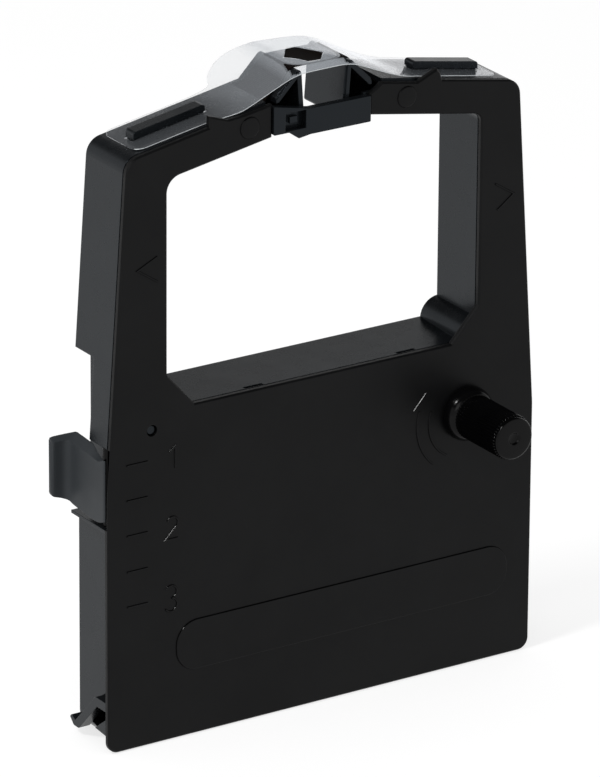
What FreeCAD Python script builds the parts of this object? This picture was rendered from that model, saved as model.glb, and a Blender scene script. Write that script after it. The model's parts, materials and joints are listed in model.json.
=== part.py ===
import FreeCAD, Part
import math
import os

os.makedirs("parts", exist_ok=True)
V = FreeCAD.Vector

# A ribbon cartridge for a dot-matrix printer, standing on its base. Sizes are in mm.
# X runs to the viewer's right, Y from the front cover to the back, Z up.
# The origin is the middle of the base. Depths are measured back from the cover's front face.

# Body outline, seen from the front
DEPTH = 19.1
HALF_WIDTH = 63.5
KINK_Z = 68.0
SIDE_LEAN = 5.8
SHOULDER_HALF = HALF_WIDTH - SIDE_LEAN
SHOULDER_Z = 155.75
ROOF_SLOPE = 0.181
NOSE_Z = SHOULDER_Z + ROOF_SLOPE * SHOULDER_HALF
SHOULDER_R = 4.6
KINK_R = 30.0
BASE_R = 3.0
FRAME_WIDTH = 11.5
WINDOW_HALF = SHOULDER_HALF - FRAME_WIDTH
SILL_Z = 88.9
SILL_RISE = 0.85
FRAME_TOP = 6.85
UNDER_Z = SHOULDER_Z - FRAME_TOP
UNDER_SLOPE = 0.176
WINDOW_TOP_LEFT_R = 4.5
WINDOW_TOP_RIGHT_R = 2.5

# Moulding thicknesses and the parting groove
COVER_THICK = 1.4
GROOVE_DEPTH = 0.4
GROOVE_INSET = 0.5
WALL = 1.5
BACK_THICK = 1.5
FRONT_EDGE = 0.4
BACK_EDGE = 0.3
STATIC_GAP = 0.05
RUN_GAP = 0.06
SHARP_JOIN = 1

# Horns that carry the ribbon across the nose
HORN_FOOT_X = 14.0
HORN_TIP_X = 6.6
HORN_RISE = 4.9
HORN_TIP_Z = NOSE_Z + HORN_RISE
HORN_TIP_R = 1.2
BLADE_X = 5.4
BLADE_DROP = 11.8
BLADE_Z = NOSE_Z - BLADE_DROP
BLADE_R = 0.8
HORN_HEEL_X = 13.4
ROOF_END_X = 16.9
ROOF_END_TURN_R = 1.15
WEB_GAP = 0.1
WEB_RISE = 5.4
CATCH_LEFT_X = -10.6
CATCH_RIGHT_X = -8.4
CATCH_UP = 1.9
CATCH_HEIGHT = 1.7
CATCH_SUNK = 0.9

# Left side of the housing: inset, latch pocket and finger recess
INSET_STEP = 3.1
INSET_X = HALF_WIDTH - INSET_STEP
INSET_R = 5.0
POCKET_STEP = 6.5
POCKET_X = HALF_WIDTH - POCKET_STEP
POCKET_FLOOR_Z = 60.1
POCKET_HEIGHT = 21.1
POCKET_TOP_Z = POCKET_FLOOR_Z + POCKET_HEIGHT
RECESS_STEP = 6.8
RECESS_X = HALF_WIDTH - RECESS_STEP
RECESS_HEIGHT = 21.3
RECESS_TOP_Z = POCKET_TOP_Z + RECESS_HEIGHT
RECESS_DEPTH = 10.0
LEDGE_TIP = 0.8
LEDGE_ROOT = 2.6
LEDGE_BACK_GAP = 1.7
LEDGE_BACK = DEPTH - LEDGE_BACK_GAP

# Round bulges at the lower window corners, and the cover plates that hide them
BULGE_OUT = 0.5
BULGE_X = WINDOW_HALF + BULGE_OUT
BULGE_UP = 0.3
BULGE_Z = SILL_Z + BULGE_UP
BULGE_R = 5.4
BULGE_WALL = 1.2
BULGE_BORE_R = BULGE_R - BULGE_WALL
CHAMFER_HEIGHT = 9.0
CHAMFER_HIGH_Z = SILL_Z + CHAMFER_HEIGHT
CHAMFER_LENGTH = 8.0
CHAMFER_LOW_X = WINDOW_HALF - CHAMFER_LENGTH

# Cover details
FIN_X = 34.2
FIN_RISE = 2.95
FIN_LENGTH = 5.6
FIN_TAIL_X = FIN_X - FIN_LENGTH
LEFT_ARM_END_X = 16.0
RIGHT_ARM_END_X = 12.7
ARM_TOP_SHOULDER_X = 23.0
ARM_TOP_DROP = 4.6
ARM_TOP_SHOULDER_Z = NOSE_Z - ARM_TOP_DROP
ARM_END_DROP = 3.4
ARM_TOP_END_Z = NOSE_Z - ARM_END_DROP
RIGHT_FIN_OUT_X = 33.6
RIGHT_FIN_OUT_RISE = 2.0
RIGHT_FIN_TIP_X = 32.6
RIGHT_FIN_TIP_RISE = 2.9
RIGHT_FIN_FOOT_X = 26.8
RIGHT_FIN_FOOT_DROP = 0.64
RIGHT_ARM_TOP_X = 16.4
RIGHT_ARM_TOP_DROP = 3.6
RIGHT_ARM_END_DROP = 5.9
COVER_SKIN = 0.5
PANEL_LEFT_MARGIN = 19.8
PANEL_LEFT_X = PANEL_LEFT_MARGIN - HALF_WIDTH
PANEL_RIGHT_MARGIN = 7.3
PANEL_RIGHT_X = HALF_WIDTH - PANEL_RIGHT_MARGIN
PANEL_LOW_Z = 17.6
PANEL_HEIGHT = 13.6
PANEL_TOP_Z = PANEL_LOW_Z + PANEL_HEIGHT
PANEL_R = 6.2
PANEL_DEPTH = 0.35
PEEP_R = 1.5
TAB_CENTRES_X = (-19.7, 25.6)
TAB_WIDTH = 5.0
TAB_THICK = 1.0
TAB_LENGTH = 3.4
NOTCH_SPARE = 0.3
NOTCH_WIDTH = TAB_WIDTH + 2 * NOTCH_SPARE
RIM_STRIP = 0.5
NOTCH_START = COVER_THICK + RIM_STRIP
NOTCH_DEPTH = 1.0
NOTCH_END = NOTCH_START + NOTCH_DEPTH
CATCH_RISE = 1.2
PEG_LEFT_MARGIN = 14.0
PEG_RIGHT_MARGIN = 6.5
PEG_X = (PEG_LEFT_MARGIN - HALF_WIDTH, HALF_WIDTH - PEG_RIGHT_MARGIN)
PEG_Z = 6.0
PEG_HALF = 1.1
PEG_LENGTH = 4.0
SOCKET_HALF = 2.4
SOCKET_TOP = 1.6

# Film rails on the roof
RAIL_LENGTH = 20.5
RAIL_MARGIN = 6.7
RAIL_OUT_X = SHOULDER_HALF - RAIL_MARGIN
RAIL_IN_X = RAIL_OUT_X - RAIL_LENGTH
RAIL_RIGHT_SHORT = 0.9
RAIL_HEAD_START = 8.0
RAIL_HEAD_END = 11.6
RAIL_STEM_START = 8.8
RAIL_STEM_END = 10.8
RAIL_LIFT = 0.7
RAIL_HEAD_THICK = 1.9
RAIL_END_R = 0.8

# Hook at the lower left, in the side plane
HOOK_BAR_TOP_Z = 13.6
HOOK_BAR_LOW_Z = 11.2
HOOK_APEX_DEPTH = 6.3
HOOK_FOOT_IN = 4.0
HOOK_FOOT_DEPTH = DEPTH - HOOK_FOOT_IN
HOOK_FOOT_Z = 2.0
HOOK_TOE_LENGTH = 3.4
HOOK_TOE_DEPTH = HOOK_FOOT_DEPTH + HOOK_TOE_LENGTH
HOOK_TOE_Z = 4.6
HOOK_THICK = 1.6
GUSSET_TOP_Z = 9.66
GUSSET_OUT_DEPTH = 6.4
GUSSET_OUT_Z = 5.15
GUSSET_LOW_Z = 4.7
PORT = ((2.6, 15.0), (5.4, 14.4), (11.2, 10.4), (13.7, 3.9), (10.9, 2.6), (5.6, 4.7), (2.6, 4.7))

# Drive wheel, hand knob and pinch wheel
DRIVE_MARGIN = 20.95
DRIVE_X = HALF_WIDTH - DRIVE_MARGIN
DRIVE_BELOW_SILL = 19.1
DRIVE_Z = SILL_Z - DRIVE_BELOW_SILL
DRIVE_R = 8.0
DRIVE_TEETH = 24
TOOTH_DEPTH = 0.6
WHEEL_START = 3.6
WHEEL_GAP = 1.0
WHEEL_END = DEPTH - BACK_THICK - WHEEL_GAP
JOURNAL_R = 4.6
DRIVE_BORE_R = 3.0
DRIVE_BORE_LENGTH = 6.0
KEY_HALF = 2.2
KEY_LENGTH = 3.0
STRIP_GROOVE_R = 6.4
STRIP_GROOVE_WIDTH = 1.8
STRIP_CENTRE = (WHEEL_START + WHEEL_END) / 2
KNOB_SHAFT_R = 4.0
KNOB_COLLAR_R = 7.2
KNOB_COLLAR_THICK = 2.6
KNOB_COLLAR_EDGE = 1.2
KNOB_GAP = 0.6
KNOB_NECK_R = 5.2
KNOB_NECK_LENGTH = 0.7
KNOB_RIB_R = 5.85
KNOB_ROOT_R = 5.5
KNOB_RIBS = 44
KNOB_END = 22.0
KNOB_CAP_THICK = 0.9
KNOB_CAP_R = 5.45
KNOB_CAP_EDGE = 0.4
DIMPLE_R = 1.6
DIMPLE_DEPTH = 0.5
NIP_GAP = 0.9
IDLER_R = 4.0
IDLER_TEETH = 12
IDLER_X = DRIVE_X + DRIVE_R + NIP_GAP + IDLER_R
AXLE_R = 1.5
ARM_START = 1.8
ARM_END = 3.3
ARM_HALF = 2.9
PIVOT_R = 1.9
HUB_R = 3.2
HUB_END = 8.0

# Springs, brake and latch
SPRING_POST_OUT = 10.3
SPRING_POST_X = BULGE_X + SPRING_POST_OUT
SPRING_POST_UP = 8.8
SPRING_POST_Z = BULGE_Z + SPRING_POST_UP
SPRING_POST_R = 1.7
SPRING_THICK = 0.35
SPRING_START = 1.9
SPRING_END = 3.2
SPRING_TOUCH_DOWN = 9.2
SPRING_TOUCH_Z = BULGE_Z - SPRING_TOUCH_DOWN
BRAKE_POST_MARGIN = 12.8
BRAKE_POST_X = BRAKE_POST_MARGIN - HALF_WIDTH
BRAKE_BELOW_SILL = 4.6
BRAKE_POST_Z = SILL_Z - BRAKE_BELOW_SILL
BRAKE_POST_R = 2.2
BRAKE_TIP_R = 1.1
BRAKE_TIP_DEPTH = 0.6
BRAKE_POST_DEPTH = 3.0
PAD_THICK = 1.4
PAD_GAP = 0.2
PAD_HALF = 3.6
PAD_START = 5.2
PAD_SHORT = 1.4
PAD_END = WHEEL_END - PAD_SHORT
BRAKE_LEAF = 0.3
BRAKE_TOP_RISE = 4.7
BRAKE_TOP_Z = BRAKE_POST_Z + BRAKE_TOP_RISE
BRAKE_CLIP_RISE = 3.9
BRAKE_CLIP_Z = POCKET_FLOOR_Z + BRAKE_CLIP_RISE
BRAKE_CLIP_HEIGHT = 5.0
BRAKE_CLIP_WALL = 1.0
LATCH_AXIS_IN = 2.1
LATCH_AXIS_X = LATCH_AXIS_IN - HALF_WIDTH
LATCH_AXIS_DEPTH = 3.6
LATCH_BARREL_R = 1.5
LATCH_PIN_R = 0.7
LATCH_LOW_GAP = 1.3
LATCH_LOW_Z = POCKET_FLOOR_Z + LATCH_LOW_GAP
LATCH_LOW_RISE = 2.2
LATCH_TOP_GAP = 2.8
LATCH_TOP_Z = POCKET_TOP_Z - LATCH_TOP_GAP
LATCH_TOP_RISE = 1.5
LATCH_FRONT_IN = 0.4
LATCH_FRONT_X = LATCH_FRONT_IN - HALF_WIDTH
LATCH_FRONT_GAP = 0.6
LATCH_FRONT_DEPTH = COVER_THICK + LATCH_FRONT_GAP
LATCH_FRONT_THICK = 1.2
LATCH_FRONT_R = 0.55
LATCH_THICK = 2.4
LATCH_END_IN = 0.4
LATCH_END = DEPTH - LATCH_END_IN
FLANGE_THICK = 1.8
FLANGE_START = LATCH_END - FLANGE_THICK
FLANGE_REACH = 5.45
FLANGE_X = -HALF_WIDTH - FLANGE_REACH
FLANGE_BEND_R = 1.0
FLANGE_EDGE_R = 0.4
FLANGE_LOW_SLANT = 1.8
FLANGE_LOW_OUT_Z = LATCH_LOW_Z + LATCH_LOW_RISE + FLANGE_LOW_SLANT
FLANGE_CORNER_R = 1.0
LATCH_PIN_SUNK = 1.1
LATCH_PIN_LOW_Z = POCKET_FLOOR_Z - LATCH_PIN_SUNK
LATCH_PIN_TOP_Z = POCKET_TOP_Z + LATCH_PIN_SUNK
LATCH_SPRING_RISE = 4.7
LATCH_SPRING_LOW_Z = LATCH_LOW_Z + LATCH_SPRING_RISE
LATCH_SPRING_WIDTH = 8.0
LATCH_SPRING_TOP_Z = LATCH_SPRING_LOW_Z + LATCH_SPRING_WIDTH
LATCH_SPRING_THICK = 0.3
LATCH_SPRING_FRONT = 5.6
LATCH_SPRING_SHORT = 2.0
LATCH_SPRING_BACK = FLANGE_START - LATCH_SPRING_SHORT

# Guides in the arms and at the shoulders
ROLLER_OUT = 5.0
ROLLER_X = WINDOW_HALF + ROLLER_OUT
ROLLER_UP = 0.4
ROLLER_Z = UNDER_Z + ROLLER_UP
ROLLER_R = 3.0
ROLLER_POST_R = 1.8
ROLLER_POST_START = 2.2
LEFT_PIN_X = -22.5
LEFT_PIN_DROP = 4.2
RIGHT_PIN_X = 23.6
RIGHT_PIN_DROP = 4.4
PIN_HALF = 0.9
PIN_END_GAP = 0.5
PIN_END = DEPTH - BACK_THICK - PIN_END_GAP
PIN_HEAD_R = 2.75
PIN_HEAD_THICK = 0.8
PIN_HEAD_RISE = 0.15

# Fold chamber rib and stripper
RIB_FROM_DRIVE = 12.1
RIB_X = DRIVE_X - RIB_FROM_DRIVE
RIB_THICK = 1.2
RIB_BELOW_DRIVE = 12.2
RIB_LOW_Z = DRIVE_Z - RIB_BELOW_DRIVE
RIB_START = 3.0
FINGER_WIDTH = 1.0
FINGER_TIP_X = 2.4
FINGER_TIP_TOP = 0.6
FINGER_TIP_LOW = 2.0
STRIPPER_FOOT_Z = RIB_LOW_Z
STRIPPER_HEIGHT = 7.4
STRIPPER_TOP_Z = STRIPPER_FOOT_Z + STRIPPER_HEIGHT
STRIPPER_THICK = 1.6

# Ribbon
RIBBON_THICK = 0.15
RIBBON_START = 3.9
RIBBON_EDGE_GAP = 0.1
RIBBON_END = WHEEL_END - RIBBON_EDGE_GAP
RIBBON_GAP = 0.1
RIBBON_ROLLER_GAP = 0.32
RIBBON_DRIVE_R = DRIVE_R + NIP_GAP / 2
FOLD_R = 2.2
FOLD_FROM_DRIVE = 2.7
FOLD_FIRST_X = DRIVE_X + FOLD_FROM_DRIVE
FOLD_LOW_Z = 8.0
FOLD_BELOW_DRIVE = 18.2
FOLD_LOW_TOP_Z = DRIVE_Z - FOLD_BELOW_DRIVE
FOLD_BELOW_SILL = 8.9
FOLD_HIGH_TOP_Z = SILL_Z - FOLD_BELOW_SILL
FOLD_LEFT_MARGIN = 22.0
FOLD_COUNT = int((FOLD_FIRST_X + HALF_WIDTH - FOLD_LEFT_MARGIN) / (4 * FOLD_R)) + 1
FOLD_FLATS = 4

# Nose bridge
BRIDGE_RISE = 0.6
BRIDGE_END_GAP = 0.1
BRIDGE_LEFT_X = BRIDGE_END_GAP - LEFT_ARM_END_X
BRIDGE_LEFT_DROP = 4.0
BRIDGE_LEFT_Z = NOSE_Z - BRIDGE_LEFT_DROP
BRIDGE_STEP_X = -5.2
BRIDGE_DROP = 6.2
BRIDGE_TOP_Z = NOSE_Z - BRIDGE_DROP
BRIDGE_HEIGHT = 6.7
BRIDGE_LOW_Z = BRIDGE_TOP_Z - BRIDGE_HEIGHT
BRIDGE_RIGHT_GAP = 0.2
BRIDGE_RIGHT_X = RIGHT_ARM_END_X - BRIDGE_RIGHT_GAP
TOOTH_X = -8.6
TOOTH_FALL = 0.5
TOOTH_Z = BRIDGE_LOW_Z - TOOTH_FALL
TOOTH_ROOT_X = -11.4
TOOTH_ROOT_RISE = 1.5
TOOTH_ROOT_Z = BRIDGE_LOW_Z + TOOTH_ROOT_RISE
BRIDGE_WINDOW_LEFT_X = -12.6
BRIDGE_WINDOW_RIGHT_X = -6.5
BRIDGE_WINDOW_RISE = 1.9
BRIDGE_WINDOW_LOW_Z = BRIDGE_LOW_Z + BRIDGE_WINDOW_RISE
BRIDGE_WINDOW_HEIGHT = 4.7
BRIDGE_WINDOW_TOP_Z = BRIDGE_WINDOW_LOW_Z + BRIDGE_WINDOW_HEIGHT
TONGUE_REACH = 4.4
TONGUE_THICK = 1.2
TONGUE_DROP = 2.4
TONGUE_LOW_Z = BRIDGE_TOP_Z - TONGUE_DROP
TONGUE_HEIGHT = 2.8
TONGUE_TOP_Z = TONGUE_LOW_Z + TONGUE_HEIGHT

# Clear film shield over the nose
FILM_THICK = 0.2
FILM_LIFT = 0.35
FILM_LEFT_MARGIN = 4.0
FILM_END_LEFT_X = FILM_LEFT_MARGIN - SHOULDER_HALF
FILM_RIGHT_MARGIN = 5.0
FILM_END_RIGHT_X = SHOULDER_HALF - FILM_RIGHT_MARGIN
FILM_START = 2.4
FILM_BACK_GAP = 0.5
FILM_END = DEPTH - FILM_BACK_GAP
FILM_END_R = 3.0
FILM_WIDE_LEFT_X = -25.0
FILM_WIDE_RIGHT_X = 20.0
FILM_FLARE = 8.0
FILM_WIDE_START = 1.0
FILM_OVERHANG = 3.4
FILM_WIDE_END = DEPTH + FILM_OVERHANG
FILM_LIFT_X = 24.0
FILM_CREST_X = 7.6
FILM_CREST_RISE = 4.15
FILM_CREST_Z = NOSE_Z + FILM_CREST_RISE
FILM_SLOT_GAP = 0.4
FILM_HOLE = ((-2.2, 15.6), (0.5, 15.0), (4.0, 8.1), (1.0, 4.6), (-2.6, 4.8), (-6.3, 10.0))


def back(depth):
    """Y of a point this far behind the cover's front face."""
    return depth - DEPTH / 2


def roof(x):
    """Height of the sloping roof at x."""
    return SHOULDER_Z + ROOF_SLOPE * (SHOULDER_HALF - abs(x))


def under(x):
    """Height of the sloping underside of the arms at x."""
    return UNDER_Z + UNDER_SLOPE * (WINDOW_HALF - abs(x))


def side(z):
    """Half width of the body at height z."""
    if z <= KINK_Z:
        return HALF_WIDTH
    lean = (HALF_WIDTH - SHOULDER_HALF) / (SHOULDER_Z - KINK_Z)
    return HALF_WIDTH - lean * (z - KINK_Z)


def rounded_corner(before, corner, after, radius):
    """Start, middle and end of the arc that rounds one corner."""
    to_before = (before - corner).normalize()
    to_after = (after - corner).normalize()
    half = to_before.getAngle(to_after) / 2
    reach = radius / math.tan(half)
    inward = (to_before + to_after).normalize()
    middle = corner + inward * (radius / math.sin(half) - radius)
    return corner + to_before * reach, middle, corner + to_after * reach


def closed_wire(points, radii):
    """Closed wire through points, each corner rounded to its own radius."""
    count = len(points)
    corners = []
    for i in range(count):
        if radii[i] == 0:
            corners.append((points[i], None, points[i]))
        else:
            corners.append(rounded_corner(points[i - 1], points[i], points[(i + 1) % count], radii[i]))
    edges = []
    for i in range(count):
        start, middle, end = corners[i]
        if middle is not None:
            edges.append(Part.Arc(start, middle, end).toShape())
        following = corners[(i + 1) % count][0]
        if end.distanceToPoint(following) > 1e-6:
            edges.append(Part.makeLine(end, following))
    return Part.Wire(edges)


def face_at(corners, depth):
    """Flat face at one depth from corners of x, z and radius."""
    points = [V(x, back(depth), z) for x, z, radius in corners]
    return Part.Face(closed_wire(points, [radius for x, z, radius in corners]))


def slab(corners, start, end):
    """Block between two depths with the outline of corners of x, z and radius."""
    return face_at(corners, start).extrude(V(0, end - start, 0))


def plain_slab(points, start, end):
    """Block between two depths with a sharp outline of x and z."""
    return slab([(x, z, 0) for x, z in points], start, end)


def block(x0, x1, start, end, z0, z1):
    """Box from x0 to x1, between two depths, from z0 to z1."""
    return Part.makeBox(x1 - x0, end - start, z1 - z0, V(x0, back(start), z0))


def round_bar(x, z, radius, start, end):
    """Cylinder along the depth, between two depths."""
    return Part.makeCylinder(radius, end - start, V(x, back(start), z), V(0, 1, 0))


def square_bar(x, z, half, start, end):
    """Square bar along the depth, between two depths."""
    return block(x - half, x + half, start, end, z - half, z + half)


def save(shape, node):
    """Write one node as a STEP file."""
    shape.exportStep("parts/" + node + ".step")


def arm_end(sign):
    """Corners of one arm from the roof over the horn to the underside."""
    heel_z = under(HORN_HEEL_X)
    return [
        (sign * HORN_FOOT_X, roof(HORN_FOOT_X), 0),
        (sign * HORN_TIP_X, HORN_TIP_Z, HORN_TIP_R),
        (sign * BLADE_X, BLADE_Z, BLADE_R),
        (sign * HORN_HEEL_X, heel_z, 0),
    ]


def housing_corners():
    """Whole housing outline: up the left side, round both horns, down the right side."""
    left = [
        (-INSET_X, 0, INSET_R),
        (-INSET_X, POCKET_FLOOR_Z, 0),
        (-POCKET_X, POCKET_FLOOR_Z, 0),
        (-POCKET_X, POCKET_TOP_Z, 0),
        (-side(POCKET_TOP_Z), POCKET_TOP_Z, 0),
        (-SHOULDER_HALF, SHOULDER_Z, SHOULDER_R),
    ]
    window = [
        (-WINDOW_HALF, UNDER_Z, WINDOW_TOP_LEFT_R),
        (-WINDOW_HALF, SILL_Z, 0),
        (WINDOW_HALF, SILL_Z, 0),
        (WINDOW_HALF, UNDER_Z, WINDOW_TOP_RIGHT_R),
    ]
    right = [
        (SHOULDER_HALF, SHOULDER_Z, SHOULDER_R),
        (HALF_WIDTH, KINK_Z, KINK_R),
        (HALF_WIDTH, 0, BASE_R),
    ]
    right_arm = list(reversed(arm_end(1)))
    return left + arm_end(-1) + window + right_arm + right


def side_recess(grow):
    """Block taken out behind the front strip of the left side, grown by one amount."""
    corners = [
        (-HALF_WIDTH - WALL, POCKET_TOP_Z - grow - WALL, 0),
        (-RECESS_X + grow, POCKET_TOP_Z - grow - WALL, 0),
        (-RECESS_X + grow, RECESS_TOP_Z + grow, 0),
        (-HALF_WIDTH - WALL, RECESS_TOP_Z + grow, 0),
    ]
    return slab(corners, RECESS_DEPTH - grow, DEPTH + WALL)


def housing_hollow(outline):
    """Inside of the housing, open to the front."""
    inner = outline.makeOffset2D(-WALL, SHARP_JOIN)
    depth = DEPTH - BACK_THICK - COVER_THICK
    hollow = inner.extrude(V(0, depth, 0))
    for sign in (-1, 1):
        hollow = hollow.fuse(round_bar(sign * BULGE_X, BULGE_Z, BULGE_BORE_R, COVER_THICK, DEPTH - BACK_THICK))
    return hollow.cut(side_recess(WALL))


def ribbon_exits():
    """Slots through the roof where the ribbon leaves each arm."""
    slots = []
    for sign in (-1, 1):
        points = [
            (sign * ROOF_END_X, roof(ROOF_END_X) + WALL),
            (sign * ROOF_END_X, roof(ROOF_END_X) - 2 * WALL),
            (sign * HORN_FOOT_X, roof(HORN_FOOT_X) - 3 * WALL),
            (sign * HORN_FOOT_X, roof(HORN_FOOT_X) + WALL),
        ]
        slots.append(plain_slab(points, COVER_THICK, DEPTH - BACK_THICK))
    return slots


def film_rail(sign):
    """One T-shaped rail that holds an end of the film down on the roof."""
    out_x = RAIL_OUT_X if sign < 0 else RAIL_OUT_X - RAIL_RIGHT_SHORT
    inner = sign * RAIL_IN_X
    outer = sign * out_x
    low_in = roof(RAIL_IN_X) + RAIL_LIFT
    low_out = roof(out_x) + RAIL_LIFT
    head_corners = [
        (inner, low_in, 0),
        (inner, low_in + RAIL_HEAD_THICK, RAIL_END_R),
        (outer, low_out + RAIL_HEAD_THICK, RAIL_END_R),
        (outer, low_out, 0),
    ]
    stem_points = [
        (inner, roof(RAIL_IN_X) - WALL / 2),
        (inner, low_in + RAIL_LIFT / 2),
        (outer, low_out + RAIL_LIFT / 2),
        (outer, roof(out_x) - WALL / 2),
    ]
    head = slab(head_corners, RAIL_HEAD_START, RAIL_HEAD_END)
    stem = plain_slab(stem_points, RAIL_STEM_START, RAIL_STEM_END)
    return head.fuse(stem)


def side_slab(points, x0, x1):
    """Block between two x planes with an outline of depth and z."""
    corners = [V(x0, back(depth), z) for depth, z, radius in points]
    wire = closed_wire(corners, [radius for depth, z, radius in points])
    return Part.Face(wire).extrude(V(x1 - x0, 0, 0))


def side_hook():
    """Hook at the lower left: a bar, a slanted strut and a foot that curls up."""
    strut_back = HOOK_FOOT_DEPTH + HOOK_THICK / 2
    points = [
        (COVER_THICK, HOOK_BAR_TOP_Z, 0),
        (HOOK_APEX_DEPTH, HOOK_BAR_TOP_Z, 0.8),
        (strut_back, HOOK_FOOT_Z + HOOK_THICK, 0.4),
        (HOOK_TOE_DEPTH - HOOK_THICK / 2, HOOK_TOE_Z, 0.3),
        (HOOK_TOE_DEPTH, HOOK_TOE_Z - HOOK_THICK / 2, 0.3),
        (HOOK_FOOT_DEPTH + HOOK_THICK, HOOK_FOOT_Z, 1.2),
        (HOOK_FOOT_DEPTH - HOOK_THICK / 2, HOOK_FOOT_Z, 0.6),
        (HOOK_APEX_DEPTH - HOOK_THICK / 2, HOOK_BAR_LOW_Z, 0.3),
        (COVER_THICK, HOOK_BAR_LOW_Z, 0),
    ]
    gusset = [
        (COVER_THICK, GUSSET_TOP_Z - COVER_THICK / 2, 0),
        (GUSSET_OUT_DEPTH, GUSSET_OUT_Z, 0),
        (COVER_THICK, GUSSET_LOW_Z, 0),
    ]
    hook = side_slab(points, -HALF_WIDTH, -INSET_X)
    return hook.fuse(side_slab(gusset, -HALF_WIDTH, -INSET_X))


def ledge():
    """Thin ledge with a slanted underside that carries the latch pin."""
    points = [
        (-HALF_WIDTH, POCKET_FLOOR_Z),
        (-INSET_X + WALL / 2, POCKET_FLOOR_Z),
        (-INSET_X + WALL / 2, POCKET_FLOOR_Z - LEDGE_ROOT),
        (-INSET_X, POCKET_FLOOR_Z - LEDGE_ROOT),
        (-HALF_WIDTH, POCKET_FLOOR_Z - LEDGE_TIP),
    ]
    return plain_slab(points, COVER_THICK, LEDGE_BACK)


def sill_slope():
    """Wedge that lifts the sill a little towards the back."""
    front = COVER_THICK + GROOVE_DEPTH
    points = [
        (front, SILL_Z - WALL / 2, 0),
        (front, SILL_Z, 0),
        (DEPTH, SILL_Z + SILL_RISE, 0),
        (DEPTH, SILL_Z - WALL / 2, 0),
    ]
    end_x = BULGE_X - (BULGE_R + BULGE_BORE_R) / 2
    return side_slab(points, -end_x, end_x)


def arm_web():
    """Web that closes the front of the left arm's end, with the catch for the nose bridge."""
    low = under(HORN_HEEL_X) + WEB_GAP
    left = WEB_GAP - HORN_HEEL_X
    web = block(left, -BLADE_X - WALL / 2, COVER_THICK, COVER_THICK + WALL, low, low + WEB_RISE)
    catch_low = low + CATCH_UP
    catch_start = COVER_THICK - CATCH_SUNK
    catch_top = catch_low + CATCH_HEIGHT
    catch = block(CATCH_LEFT_X, CATCH_RIGHT_X, catch_start, COVER_THICK + WALL / 2, catch_low, catch_top)
    return web.fuse(catch)


def housing_posts():
    """Posts and bosses that stand on the inside of the back wall."""
    floor = DEPTH - BACK_THICK
    sunk = DEPTH - BACK_THICK / 2
    posts = [
        round_bar(BULGE_X, BULGE_Z, PIVOT_R, SOCKET_TOP, sunk),
        round_bar(SPRING_POST_X, SPRING_POST_Z, SPRING_POST_R, ARM_START, sunk),
        round_bar(BRAKE_POST_X, BRAKE_POST_Z, BRAKE_POST_R, BRAKE_POST_DEPTH, sunk),
        round_bar(BRAKE_POST_X, BRAKE_POST_Z, BRAKE_TIP_R, BRAKE_TIP_DEPTH, floor),
    ]
    for sign in (-1, 1):
        posts.append(round_bar(sign * ROLLER_X, ROLLER_Z, ROLLER_POST_R, ROLLER_POST_START, sunk))
    for x in PEG_X:
        tube = square_bar(x, PEG_Z, SOCKET_HALF, SOCKET_TOP, sunk)
        bore = square_bar(x, PEG_Z, PEG_HALF + STATIC_GAP, 0, PEG_LENGTH + COVER_THICK + WALL)
        posts.append(tube.cut(bore))
    return posts


def brake_clip():
    """Two short ribs that grip the foot of the brake spring."""
    wall_x = -POCKET_X + WALL
    low = BRAKE_CLIP_Z
    high = BRAKE_CLIP_Z + BRAKE_CLIP_HEIGHT
    inner = wall_x + BRAKE_LEAF + 2 * STATIC_GAP
    return block(inner, inner + BRAKE_CLIP_WALL, PAD_START, DEPTH - BACK_THICK / 2, low, high)


def build_rear_housing():
    """The deep moulding: back wall, all side walls, horns, rails, hook and inside posts."""
    corners = housing_corners()
    rim_depth = COVER_THICK + GROOVE_DEPTH
    outer = slab(corners, rim_depth, DEPTH)
    edges = [e for e in outer.Edges if abs(e.BoundBox.YMin - back(DEPTH)) < 1e-6]
    outer = outer.makeChamfer(BACK_EDGE, edges)
    rim_face = face_at(corners, COVER_THICK).makeOffset2D(-GROOVE_INSET, SHARP_JOIN)
    outer = outer.fuse(rim_face.extrude(V(0, GROOVE_DEPTH, 0)))
    for sign in (-1, 1):
        outer = outer.fuse(round_bar(sign * BULGE_X, BULGE_Z, BULGE_R, COVER_THICK, DEPTH))
    outer = outer.cut(side_recess(0))
    shell = outer.cut(housing_hollow(face_at(corners, COVER_THICK)))
    for slot in ribbon_exits():
        shell = shell.cut(slot)
    shell = shell.cut(round_bar(DRIVE_X, DRIVE_Z, JOURNAL_R + RUN_GAP, DEPTH - BACK_THICK - 1, DEPTH + 1))
    port = side_slab([(depth, z, 0) for depth, z in PORT], -INSET_X - 1, -INSET_X + WALL + 1)
    shell = shell.cut(port).fuse(sill_slope())
    for x in TAB_CENTRES_X:
        half = NOTCH_WIDTH / 2
        shell = shell.cut(block(x - half, x + half, NOTCH_START, NOTCH_END, SILL_Z - WALL - 1, SILL_Z + 1))
    rib = block(RIB_X, RIB_X + RIB_THICK, RIB_START, DEPTH - BACK_THICK / 2, RIB_LOW_Z, SILL_Z - WALL / 2)
    pieces = housing_posts() + [film_rail(-1), film_rail(1), side_hook(), ledge(), rib, brake_clip(), arm_web()]
    shell = shell.multiFuse(pieces)
    pin_hole = Part.makeCylinder(
        LATCH_PIN_R + STATIC_GAP,
        LATCH_PIN_TOP_Z - LATCH_PIN_LOW_Z + 2 * STATIC_GAP,
        V(LATCH_AXIS_X, back(LATCH_AXIS_DEPTH), LATCH_PIN_LOW_Z - STATIC_GAP),
    )
    return shell.cut(pin_hole).removeSplitter()


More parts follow.
